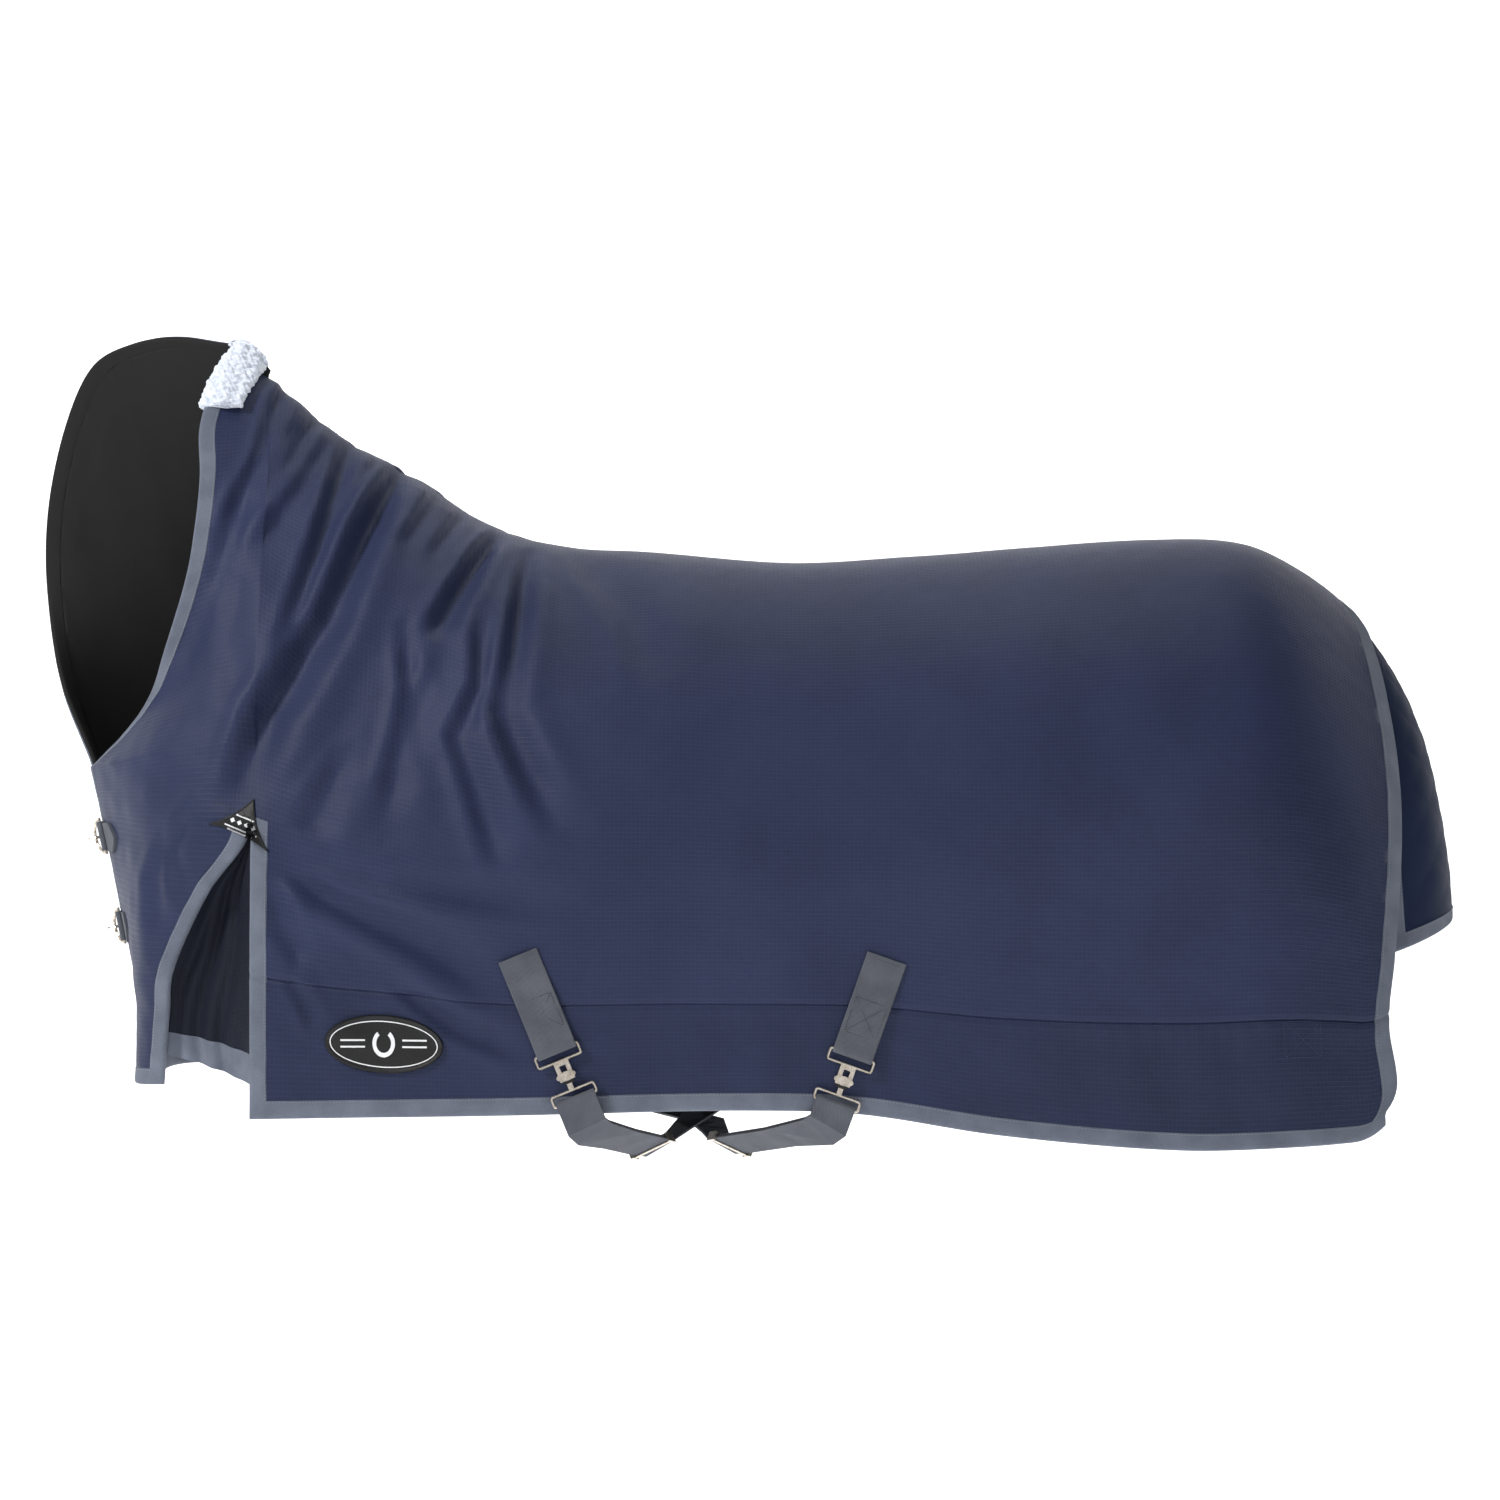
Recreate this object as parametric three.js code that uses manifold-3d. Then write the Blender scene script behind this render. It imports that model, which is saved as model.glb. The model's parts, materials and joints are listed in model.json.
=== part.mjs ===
// A turnout rug: the waterproof, padded blanket a horse wears in the field, with a high neck, a front
// that closes with two snap hooks, crossed surcingles under the belly and a tail flap.
//
// Millimetres, +X toward the tail, -X toward the head, -Y is the horse's left side, +Z up.
// The origin is on the lining over the spine at mid back, where the rug rests on the horse.
import * as THREE from 'three';
import { mergeVertices } from 'three/addons/utils/BufferGeometryUtils.js';
import Module from 'manifold-3d';

const wasm = await Module();
wasm.setup();

// ---- Driving dimensions -------------------------------------------------------------------------

const BACK_LENGTH = 1400; // slit to rear edge, along the back
const DROP = 690; // spine to hem at mid back
const BARREL_HALF_WIDTH = 340; // centre line to the side of the rug at the belly
const NECK_FLARE = 1; // how far the right neck edge rolls forward, as a share of its full roll

const OUTER_THICKNESS = 1.2; // ripstop outer fabric
const FILL_THICKNESS = 6; // polyester filling
const LINING_THICKNESS = 1; // nylon lining
const GAP = 0.3; // clearance between sewn layers and between pieces that touch
const BINDING_WIDTH = 22; // edge tape, as seen from outside
const SEWN_EDGE_GAP = 0.78; // how far the tape is drawn in from the fabric that it edges
const BINDING_PROUD = 0.6; // how far the tape stands off the fabric on each face
const GUSSET_THICKNESS = 2.4; // folded shoulder gusset
const GUSSET_DEPTH = 34; // how far the gusset folds in behind the slit

const WEBBING_WIDTH = 50; // surcingle webbing
const WEBBING_THICKNESS = 2.4;
const CHEST_WEBBING_WIDTH = 38; // webbing of the chest closures
const WIRE_RADIUS = 2; // wire of the surcingle loops
const RING_WIRE_RADIUS = 1.9; // wire of the D-rings
const PIVOT_CLEARANCE = 0.35; // between a wire and the webbing folded round it

const SURCINGLE_TAB_LENGTH = 124; // sewn tab, top end to wire
const LOOP_HEIGHT = 14; // between the two long wires of a surcingle loop
const CLIP_NECK_LENGTH = 25; // forked neck below the upper loop
const CLIP_SLOT_WIDTH = 8;
const CLIP_PRONG_WIDTH = 5.5;
const CLIP_PLATE_THICKNESS = 2;
const CLIP_REACH = 52; // upper wire of the female clip to upper wire of the T-hook
const T_HEAD_LENGTH = 25;
const T_HEAD_WIDTH = 11;
const HOOK_LOOP_HEIGHT = 12; // between the two long wires of the T-hook's loop
const STRAP_BELOW_HEM = 20; // how far the straps pass below the hem
const SLIDE_HALF_LENGTH = 10;
const STRAP_START = 3; // gap past the fold, where the end strap swings

const CHEST_RING_HEIGHT = 13; // chest ring's bow off the fabric
const CROOK_RADIUS = 8; // centre line of the snap hook's crook
const HOOK_WIRE_RADIUS = 2.2;
const SWIVEL_REACH = 33; // crook centre to the swivel collar
const GATE_PIVOT = [19.2, 4]; // along and off the hook's axis
const CHEST_RING_SEAT = 24; // centre front to the left tab's fold
const CHEST_EYE_SEAT = 46; // centre front to the right tab's fold

const FLEECE_WIDTH = 46; // fleece at the poll, measured from the neck edge
const FLEECE_THICKNESS = 9;
const FLEECE_CLEARANCE = 0.8;
const FLAP_THICKNESS = 5; // tail flap, padded
const D_RING_DEPTH = 26;

// ---- Small maths ----------------------------------------------------------------------------------

const V = (x, y, z) => new THREE.Vector3(x, y, z);
const lerp = THREE.MathUtils.lerp;

// A smooth curve through knots [t, value, value...]: cubic pieces with the neighbours' mean slope.
function smoothCurve(knots) {
  const last = knots.length - 1;
  const slope = (k, c) => {
    const a = knots[Math.max(k - 1, 0)];
    const b = knots[Math.min(k + 1, last)];
    return (b[c] - a[c]) / (b[0] - a[0]);
  };
  return (t) => {
    let k = 0;
    while (k < last - 1 && t > knots[k + 1][0]) k += 1;
    const h = knots[k + 1][0] - knots[k][0];
    const u = (t - knots[k][0]) / h;
    const values = [];
    for (let c = 1; c < knots[k].length; c += 1) {
      const p = knots[k][c];
      const q = knots[k + 1][c];
      const m = slope(k, c) * h;
      const n = slope(k + 1, c) * h;
      values.push(
        (2 * u ** 3 - 3 * u ** 2 + 1) * p + (u ** 3 - 2 * u ** 2 + u) * m
        + (3 * u ** 2 - 2 * u ** 3) * q + (u ** 3 - u ** 2) * n,
      );
    }
    return values;
  };
}

// ---- The rug's surface ----------------------------------------------------------------------------
// Knots are given for a 1400 x 690 x 680 rug and scaled to the driving dimensions.

const SX = BACK_LENGTH / 1400;
const SY = BARREL_HALF_WIDTH / 340;
const SZ = DROP / 690;

const SLIT_X = -613 * SX;
const REAR_TOP_X = 787 * SX;
const REAR_HEM_X = 806 * SX;
const HEM_CORNER_RADIUS = 62;
const APEX_ROW = 9; // row of the grid where the shoulder slit starts
const CHEST_ROW = 8; // row where the neck edge meets the centre front
const SEAM_ROW = 11; // row of the seam above the hem band
const HEM_ROW = 14;

const topline = smoothCurve([
  [-663, 298], [-598, 230], [-526, 172], [-435, 123], [-351, 68], [-260, 36], [-104, 24],
  [52, 12], [208, 20], [364, 32], [520, 42], [637, 37], [715, 2], [787, -52], [840, -104],
]);
const hemline = smoothCurve([
  [-613, -683], [-499, -680], [-280, -675], [-61, -669], [122, -672], [304, -698],
  [523, -717], [669, -716], [806, -712],
]);
// Rear edge, by share of the drop.
const rearline = smoothCurve([
  [0, 787], [0.05, 800], [0.25, 818], [0.42, 820], [0.68, 802], [0.8, 792], [0.9, 802], [1, 806],
]);
// Side shape by distance along the back: half width, depth of the round, exponent of the round.
const sideShape = smoothCurve([
  [-663, 280, 800, 0.84], [-613, 295, 760, 0.84], [-450, 318, 600, 0.68], [-300, 332, 470, 0.55],
  [-100, 338, 420, 0.5], [150, 340, 420, 0.5], [400, 346, 400, 0.5], [600, 328, 400, 0.5],
  [700, 295, 450, 0.55], [840, 222, 640, 0.73],
]);
// Neck edge on the left, by row, from the poll to the chest.
const leftNeckEdge = smoothCurve([
  [0, -663, 0, 298], [1, -688, 48, 248], [2, -703, 88, 185], [3, -699, 118, 120],
  [4, -702, 140, 55], [5, -712, 150, -15], [6, -740, 142, -105], [7, -775, 105, -182],
  [8, -858, 3, -253],
]);
// Neck edge on the right, which rolls forward.
const rightNeckEdge = smoothCurve([
  [0, -663, 0, 298], [1, -742, 42, 312], [2, -812, 78, 307], [3, -870, 108, 280],
  [4, -910, 130, 205], [5, -937, 145, 95], [6, -940, 148, -20], [7, -918, 112, -142],
  [8, -858, 3, -253],
]);
// Centre front edge below the neck, by row.
const centreFront = smoothCurve([
  [8, -858, 3, -253], [9, -846, 3, -306], [10, -826, 3, -395], [11, -803, 3, -505],
  [12, -794, 3, -560], [13, -790, 3, -610], [14, -792, 3, -656],
]);
// Front panel's edge along the shoulder slit, by row.
const slitEdge = smoothCurve([
  [9, -613, 272, -310], [9.35, -620, 268, -343], [10, -668, 250, -405], [11, -716, 215, -500],
  [12, -725, 196, -555], [13, -731, 182, -604], [14, -736, 170, -650],
]);

function toplineHeight(x) {
  return topline(x / SX)[0] * SZ;
}

function hemHeight(x) {
  const start = REAR_HEM_X - HEM_CORNER_RADIUS;
  const along = Math.max(0, Math.min(x - start, HEM_CORNER_RADIUS));
  const lift = HEM_CORNER_RADIUS - Math.sqrt(HEM_CORNER_RADIUS ** 2 - along ** 2);
  return hemline(x / SX)[0] * SZ + lift;
}

// Distance of the side from the centre line, at a depth below the topline.
function halfWidth(x, depth) {
  const [width, round, power] = sideShape(x / SX);
  const crestRadius = 25;
  const t = THREE.MathUtils.clamp(depth / (round * SZ), 0, 1);
  const side = width * SY * Math.max(0, 2 * t - t * t) ** power;
  const crest = 2 * crestRadius * Math.max(depth, 0) * Math.exp(-depth / 80);
  return Math.sqrt(side * side + crest);
}

// Share of the drop at a row: the rows are close together over the back, where the rug is round.
function dropShare(row, a) {
  const seam = lerp(0.81, 0.785, a) + 0.012 * Math.sin(Math.PI * a);
  if (row <= SEAM_ROW) return seam * (row / SEAM_ROW) ** 1.5;
  return lerp(seam, 1, (row - SEAM_ROW) / (HEM_ROW - SEAM_ROW));
}

function rearX(share) {
  const drop = (1 - share) * DROP;
  const below = Math.max(0, HEM_CORNER_RADIUS - drop);
  const cut = HEM_CORNER_RADIUS - Math.sqrt(HEM_CORNER_RADIUS ** 2 - Math.min(below, HEM_CORNER_RADIUS * 0.71) ** 2);
  return rearline(share)[0] * SX - cut;
}

// Point of the body at a (0 at the slit, 1 at the rear edge) and row. side is -1 left, 1 right.
function bodyPoint(side, a, row) {
  const share = dropShare(row, a);
  const x = lerp(SLIT_X, rearX(share), a);
  const topX = lerp(SLIT_X, REAR_TOP_X, a);
  const hemX = lerp(SLIT_X, rearX(1), a);
  const z = lerp(toplineHeight(topX), hemHeight(hemX), share);
  const top = row === 0 ? 0 : halfWidth(x, toplineHeight(x) - z);
  return V(x, side * top, z);
}

const scaled = ([x, y, z]) => V(x * SX, y * SY, z * SZ);

function slitPoint(row) {
  if (row <= APEX_ROW) return bodyPoint(1, 0, row);
  const apex = bodyPoint(1, 0, APEX_ROW);
  const start = scaled(slitEdge(APEX_ROW));
  return scaled(slitEdge(row)).add(apex).sub(start);
}

function frontEdgePoint(side, row) {
  if (row > CHEST_ROW) return scaled(centreFront(row));
  const near = scaled(leftNeckEdge(row));
  if (side < 0) return near;
  return near.lerp(scaled(rightNeckEdge(row)), NECK_FLARE);
}

// Point of the neck and chest at s (0 at the slit line, 1 at the neck or centre front edge) and row.
function frontPoint(side, s, row) {
  const from = slitPoint(row);
  const to = frontEdgePoint(side, row);
  const reach = from.distanceTo(to);
  const chest = THREE.MathUtils.smoothstep(row, 5.5, 8);
  const leave = V(-1, -0.16, 0).multiplyScalar(reach);
  const arrive = V(lerp(-0.9, -0.3, chest), lerp(0.1, -1.1, chest), 0).multiplyScalar(reach);
  if (row < CHEST_ROW) arrive.z = (to.z - from.z) * (1 - chest);
  if (row < CHEST_ROW) leave.z = (to.z - from.z) * 0.6;
  const p = from.clone().multiplyScalar(2 * s ** 3 - 3 * s ** 2 + 1);
  p.addScaledVector(leave, s ** 3 - 2 * s ** 2 + s);
  p.addScaledVector(to, 3 * s ** 2 - 2 * s ** 3);
  p.addScaledVector(arrive, s ** 3 - s ** 2);
  if (row === 0) p.y = 0;
  p.y *= side;
  return p;
}

// Point at a distance u behind the slit line (u < 0 is ahead of it).
function skinPoint(side, u, row) {
  if (u >= 0) return bodyPoint(side, u / (REAR_TOP_X - SLIT_X), row);
  const reach = slitPoint(row).distanceTo(frontEdgePoint(side, row));
  return frontPoint(side, -u / reach, row);
}

// Outward normal of a surface function f(u, v) at u, v.
function outward(f, u, v, du, dv, inside) {
  const p = f(u, v);
  const n = f(u + du, v).sub(f(u - du, v)).cross(f(u, v + dv).sub(f(u, v - dv))).normalize();
  return n.dot(p.clone().sub(inside)) < 0 ? n.negate() : n;
}

// ---- Building solids ------------------------------------------------------------------------------

function geometryOf(points, triangles) {
  const geometry = new THREE.BufferGeometry();
  geometry.setAttribute('position', new THREE.Float32BufferAttribute(points.flatMap((p) => [p.x, p.y, p.z]), 3));
  geometry.setIndex(triangles.flat());
  return geometry;
}

// Closes a sheet of quads into a solid between two offsets along its normals.
// Its border is drawn in, so that sheets cut from one surface stay clear of each other.
function thicken(sheet, quads, top, bottom, drawIn = GAP * 0.55) {
  const shift = new Map();
  const edges = new Map();
  for (const quad of quads) {
    quad.forEach((v, k) => edges.set(`${v} ${quad[(k + 1) % 4]}`, quad));
  }
  const border = [];
  for (const [key, quad] of edges) {
    const [a, b] = key.split(' ').map(Number);
    if (edges.has(`${b} ${a}`)) continue;
    border.push([a, b]);
    const [p, q, r] = [sheet.points[quad[0]], sheet.points[quad[1]], sheet.points[quad[2]]];
    const s = sheet.points[quad[3]];
    const normal = r.clone().sub(p).cross(s.clone().sub(q)).normalize();
    const along = sheet.points[b].clone().sub(sheet.points[a]).normalize();
    const inward = normal.cross(along).normalize();
    for (const v of [a, b]) shift.set(v, [...(shift.get(v) ?? []), inward]);
  }
  const used = [...new Set(quads.flat())];
  const place = new Map(used.map((v, k) => [v, k]));
  const base = used.map((v) => {
    const p = sheet.points[v].clone();
    const dirs = shift.get(v);
    if (!dirs) return p;
    const sum = dirs.reduce((t, d) => t.add(d), V(0, 0, 0));
    const spread = Math.max(sum.lengthSq() / dirs.length, 0.5);
    return p.addScaledVector(sum, drawIn / spread);
  });
  const offset = (d) => base.map((p, k) => p.clone().addScaledVector(sheet.normals[used[k]], d));
  const points = [...offset(top), ...offset(bottom)];
  const n = used.length;
  const triangles = [];
  for (const quad of quads) {
    const [a, b, c, d] = quad.map((v) => place.get(v));
    triangles.push([a, b, c], [a, c, d], [n + a, n + c, n + b], [n + a, n + d, n + c]);
  }
  for (const [v, w] of border) {
    const a = place.get(v);
    const b = place.get(w);
    // Neighbours share a border, so both split its wall along the same diagonal.
    if (v > w) triangles.push([b, a, n + a], [b, n + a, n + b]);
    else triangles.push([b, a, n + b], [a, n + a, n + b]);
  }
  return geometryOf(points, triangles);
}

// A sheet from a grid of points, rows of equal length, with its normals.
function gridSheet(rows, flip) {
  const width = rows[0].length;
  const points = rows.flat();
  const quads = [];
  for (let j = 0; j < rows.length - 1; j += 1) {
    for (let i = 0; i < width - 1; i += 1) {
      const a = j * width + i;
      const quad = [a, a + 1, a + 1 + width, a + width];
      quads.push(flip ? [quad[0], quad[3], quad[2], quad[1]] : quad);
    }
  }
  const sheet = { points, quads };
  sheet.normals = sheetNormals(sheet);
  return sheet;
}

function sheetNormals({ points, quads }) {
  const normals = points.map(() => V(0, 0, 0));
  for (const [a, b, c, d] of quads) {
    const n = points[c].clone().sub(points[a]).cross(points[d].clone().sub(points[b]));
    for (const v of [a, b, c, d]) normals[v].add(n);
  }
  return normals.map((n) => n.normalize());
}

// A solid swept through a list of cross-sections of equal length. Closed sweeps have no end caps.
function sweep(sections, closed = false) {
  const n = sections[0].length;
  const points = sections.flat();
  const triangles = [];
  const count = sections.length;
  for (let j = 0; j < (closed ? count : count - 1); j += 1) {
    const k = (j + 1) % count;
    for (let i = 0; i < n; i += 1) {
      const m = (i + 1) % n;
      triangles.push([j * n + i, k * n + i, k * n + m], [j * n + i, k * n + m, j * n + m]);
    }
  }
  if (!closed) {
    for (const [section, base, turn] of [[sections[0], 0, false], [sections[count - 1], (count - 1) * n, true]]) {
      for (const [a, b, c] of capTriangles(section)) {
        triangles.push(turn ? [base + a, base + c, base + b] : [base + a, base + b, base + c]);
      }
    }
  }
  const geometry = geometryOf(points, triangles);
  return signedVolume(geometry) < 0 ? turned(geometry) : geometry;
}

// Triangles of a flat outline, in the order of its points.
function capTriangles(section) {
  const normal = V(0, 0, 0);
  section.forEach((p, i) => normal.add(p.clone().cross(section[(i + 1) % section.length])));
  normal.normalize();
  const across = section[1].clone().sub(section[0]).normalize();
  const over = normal.clone().cross(across).normalize();
  const flat = section.map((p) => new THREE.Vector2(p.dot(across), p.dot(over)));
  return THREE.ShapeUtils.triangulateShape(flat, []);
}

function signedVolume(geometry) {
  const p = geometry.getAttribute('position');
  const index = geometry.getIndex();
  let sum = 0;
  for (let k = 0; k < index.count; k += 3) {
    const [a, b, c] = [0, 1, 2].map((m) => new THREE.Vector3().fromBufferAttribute(p, index.getX(k + m)));
    sum += a.dot(b.cross(c));
  }
  return sum / 6;
}

function turned(geometry) {
  const index = geometry.getIndex();
  for (let k = 0; k < index.count; k += 3) {
    const a = index.getX(k);
    index.setX(k, index.getX(k + 1));
    index.setX(k + 1, a);
  }
  return geometry;
}

function toSolid(geometry) {
  const bare = geometry.index ? geometry.clone() : geometry;
  bare.deleteAttribute('normal');
  bare.deleteAttribute('uv');
  const merged = mergeVertices(bare, 1e-4);
  const mesh = new wasm.Mesh({
    numProp: 3,
    vertProperties: new Float32Array(merged.getAttribute('position').array),
    triVerts: new Uint32Array(merged.getIndex().array),
  });
  return new wasm.Manifold(mesh);
}

function fromSolid(solid) {
  const { vertProperties, triVerts } = solid.getMesh();
  const geometry = new THREE.BufferGeometry();
  geometry.setAttribute('position', new THREE.BufferAttribute(new Float32Array(vertProperties), 3));
  geometry.setIndex(new THREE.BufferAttribute(new Uint32Array(triVerts), 1));
  return geometry;
}

const joined = (...parts) => fromSolid(parts.map(toSolid).reduce((a, b) => a.add(b)));
const cut = (body, ...tools) => fromSolid(tools.map(toSolid).reduce((a, b) => a.subtract(b), toSolid(body)));

// Round wire bent along points. A closed loop of wire joins its own start.
function wire(points, radius, closed = false, sides = 6) {
  const count = points.length;
  const sections = points.map((p, k) => {
    const before = closed ? points[(k + count - 1) % count] : points[Math.max(k - 1, 0)];
    const after = closed ? points[(k + 1) % count] : points[Math.min(k + 1, count - 1)];
    const come = p.clone().sub(before).normalize();
    const go = after.clone().sub(p).normalize();
    if (come.lengthSq() === 0) come.copy(go);
    if (go.lengthSq() === 0) go.copy(come);
    const along = come.clone().add(go).normalize();
    const half = Math.max(along.dot(go), 0.5);
    const over = V(0, 0, 1).addScaledVector(along, -along.z).normalize();
    const out = along.clone().cross(over);
    return Array.from({ length: sides }, (_, i) => {
      const angle = (i / sides) * 2 * Math.PI;
      const across = (Math.cos(angle) * radius) / half;
      return p.clone().addScaledVector(out, across).addScaledVector(over, Math.sin(angle) * radius);
    });
  });
  return sweep(sections, closed);
}

// Corner points of a rounded rectangle in the XY plane.
function roundedLoop(x0, x1, halfSpan, radius) {
  const corners = [[x1, halfSpan, 0], [x0, halfSpan, 90], [x0, -halfSpan, 180], [x1, -halfSpan, 270]];
  return corners.flatMap(([x, y, start]) => [0, 45, 90].map((turn) => {
    const angle = THREE.MathUtils.degToRad(start + turn);
    const cx = x === x1 ? x1 - radius : x0 + radius;
    const cy = y > 0 ? halfSpan - radius : radius - halfSpan;
    return V(cx + radius * Math.cos(angle), cy + radius * Math.sin(angle), 0);
  }));
}

// A flat plate in the XY plane from an outline, standing from z0 to z1.
function plate(shape, z0, z1, curveSegments = 6) {
  const geometry = new THREE.ExtrudeGeometry(shape, { depth: z1 - z0, bevelEnabled: false, curveSegments });
  return geometry.translate(0, 0, z0);
}

function rectangle(x0, x1, y0, y1) {
  return new THREE.Shape([[x0, y0], [x1, y0], [x1, y1], [x0, y1]].map(([x, y]) => new THREE.Vector2(x, y)));
}

// Flat webbing along points, with its face normals. A list of widths makes a pointed end.
function ribbon(points, faces, widths, thickness = WEBBING_THICKNESS) {
  const sections = points.map((p, k) => {
    const width = widths[k] ?? widths;
    const before = points[Math.max(k - 1, 0)];
    const after = points[Math.min(k + 1, points.length - 1)];
    const along = after.clone().sub(before).normalize();
    const face = faces[k].clone().addScaledVector(along, -along.dot(faces[k])).normalize();
    const across = along.clone().cross(face).multiplyScalar(width / 2);
    const low = p.clone().addScaledVector(face, -thickness / 2);
    const high = p.clone().addScaledVector(face, thickness / 2);
    return [low.clone().sub(across), low.clone().add(across), high.clone().add(across), high.clone().sub(across)];
  });
  return sweep(sections);
}

// A route with each stretch between its second and sixth points split, so that it twists gently.
function eased(points, faces, parts) {
  const out = { points: [points[0]], faces: [faces[0]] };
  for (let k = 1; k < points.length; k += 1) {
    const count = k > 1 && k < 6 ? parts : 1;
    for (let n = 1; n <= count; n += 1) {
      out.points.push(points[k - 1].clone().lerp(points[k], n / count));
      out.faces.push(faces[k - 1].clone().lerp(faces[k], n / count));
    }
  }
  return out;
}

// Webbing folded round a wire that runs along Y at the local origin: a sleeve with a bore.
const sleeveRadius = (wireRadius) => wireRadius + PIVOT_CLEARANCE + WEBBING_THICKNESS;
function sleeve(width, wireRadius) {
  const shape = new THREE.Shape();
  shape.absarc(0, 0, sleeveRadius(wireRadius), 0, 2 * Math.PI);
  const bore = new THREE.Path();
  bore.absarc(0, 0, wireRadius + PIVOT_CLEARANCE, 0, 2 * Math.PI, true);
  shape.holes.push(bore);
  const geometry = plate(shape, -width / 2, width / 2, 5);
  return geometry.rotateX(Math.PI / 2);
}

// A frame on a surface: x along the webbing, y across it, z out of the surface.
function frameAt(origin, along, out) {
  const z = out.clone().normalize();
  const x = along.clone().addScaledVector(z, -z.dot(along)).normalize();
  const y = z.clone().cross(x);
  return new THREE.Matrix4().makeBasis(x, y, z).setPosition(origin);
}

// A frame whose y is an axis, with x as near as it can be to a direction.
function frameAcross(origin, along, axis) {
  const y = axis.clone().normalize();
  const x = along.clone().addScaledVector(y, -y.dot(along)).normalize();
  return new THREE.Matrix4().makeBasis(x, y, x.clone().cross(y)).setPosition(origin);
}

// ---- Materials ------------------------------------------------------------------------------------

const finish = (color, roughness, metalness = 0) => new THREE.MeshStandardMaterial({ color, roughness, metalness });
const NAVY = finish(0x2c334d, 0.75);
const NAVY_BAND = finish(0x262e44, 0.78);
const BLACK_LINING = finish(0x121214, 0.8);
const WADDING = finish(0xd8d8d4, 0.95);
const GREY_BINDING = finish(0x70777f, 0.85);
const GREY_WEBBING = finish(0x595b62, 0.85);
const WHITE_FLEECE = finish(0xdce2eb, 0.98);
const NICKEL = finish(0xc8bba8, 0.28, 1);
const BLACK_RUBBER = finish(0x151515, 0.6);

// The surface is laid out from the horse's crest line; the rug's origin is the underside of the lining.
const RUG_THICKNESS = OUTER_THICKNESS + FILL_THICKNESS + LINING_THICKNESS + 2 * GAP;
const LINING_HEIGHT = toplineHeight(0) - RUG_THICKNESS;

const rug = new THREE.Group();

// Joint axes, kept on the group for whoever poses the model.
function report(name, point, direction) {
  rug.userData[name] = { point: [point.x, point.y, point.z - LINING_HEIGHT], direction: direction.toArray() };
}

function add(name, geometry, material) {
  const mesh = new THREE.Mesh(geometry.translate(0, 0, -LINING_HEIGHT), material);
  mesh.name = name;
  rug.add(mesh);
  return mesh;
}

// ---- The master sheet -----------------------------------------------------------------------------
// One grid of quads covers the whole rug, out to its edges. Every sewn layer and every strip of
// binding is cut from it, so that they follow each other exactly.

const BODY_COLUMNS = 12; // between the two bindings
const FRONT_COLUMNS = 3;
const ROWS = [0, 1, 2, 3, 4, 5, 6, 7, 8, 9, 9.35, 10, 11, 12, 13, 'inset', 14];
const APEX_INDEX = ROWS.indexOf(APEX_ROW);
const CHEST_INDEX = ROWS.indexOf(CHEST_ROW);
const SEAM_INDEX = ROWS.indexOf(SEAM_ROW);
const INSET_INDEX = ROWS.indexOf('inset');
const HEM_INDEX = ROWS.length - 1;
const FLEECE_INDEX = 2; // the fleece ends at this row
const BODY_LAST = BODY_COLUMNS + 2;
const FRONT_LAST = FRONT_COLUMNS + 2;

function bodyVertex(side, i, j) {
  let row = ROWS[j];
  const share = row === 'inset' ? 1 : dropShare(row, 0.5);
  const inset = BINDING_WIDTH / (rearX(share) - SLIT_X);
  let a = inset + ((i - 1) / BODY_COLUMNS) * (1 - 2 * inset);
  if (i === 0) a = 0;
  if (i === BODY_LAST) a = 1;
  if (row === 'inset') {
    const step = bodyPoint(side, a, HEM_ROW - 1).distanceTo(bodyPoint(side, a, HEM_ROW));
    row = HEM_ROW - BINDING_WIDTH / step;
  }
  return bodyPoint(side, a, row);
}

function frontVertex(side, i, j) {
  let row = ROWS[j];
  if (row === 'inset') {
    const step = slitPoint(HEM_ROW - 1).distanceTo(slitPoint(HEM_ROW));
    row = HEM_ROW - BINDING_WIDTH / step;
  }
  const reach = slitPoint(row).distanceTo(frontEdgePoint(side, row));
  const inset = BINDING_WIDTH / reach;
  let s = inset + ((i - 1) / FRONT_COLUMNS) * (1 - 2 * inset);
  if (i === 0) s = 0;
  if (i === FRONT_LAST) s = 1;
  return frontPoint(side, s, row);
}

function masterSheet() {
  const points = [];
  const index = new Map();
  const tags = [];
  const quads = [];
  const vertex = (side, patch, i, j) => {
    const shared = patch === 'front' && i === 0 && j <= APEX_INDEX;
    const key = [j === 0 ? 0 : side, shared ? 'body' : patch, i, j].join();
    if (!index.has(key)) {
      index.set(key, points.length);
      points.push(patch === 'body' || shared ? bodyVertex(side, i, j) : frontVertex(side, i, j));
    }
    return index.get(key);
  };
  for (const side of [-1, 1]) {
    for (const [patch, last] of [['body', BODY_LAST], ['front', FRONT_LAST]]) {
      for (let j = 0; j < HEM_INDEX; j += 1) {
        for (let i = 0; i < last; i += 1) {
          const quad = [[i, j], [i + 1, j], [i + 1, j + 1], [i, j + 1]].map(([c, r]) => vertex(side, patch, c, r));
          const flip = (patch === 'body') === (side < 0);
          quads.push(flip ? [quad[0], quad[3], quad[2], quad[1]] : quad);
          tags.push({ side, patch, i, j });
        }
      }
    }
  }
  const sheet = { points, quads, tags, vertex };
  sheet.normals = sheetNormals(sheet);
  return sheet;
}

const master = masterSheet();

function isBinding({ patch, i, j }) {
  if (patch === 'body') return i === BODY_LAST - 1 || j >= INSET_INDEX || (i === 0 && j > APEX_INDEX);
  return i === FRONT_LAST - 1 || j >= INSET_INDEX || (i === 0 && j > APEX_INDEX);
}

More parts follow.
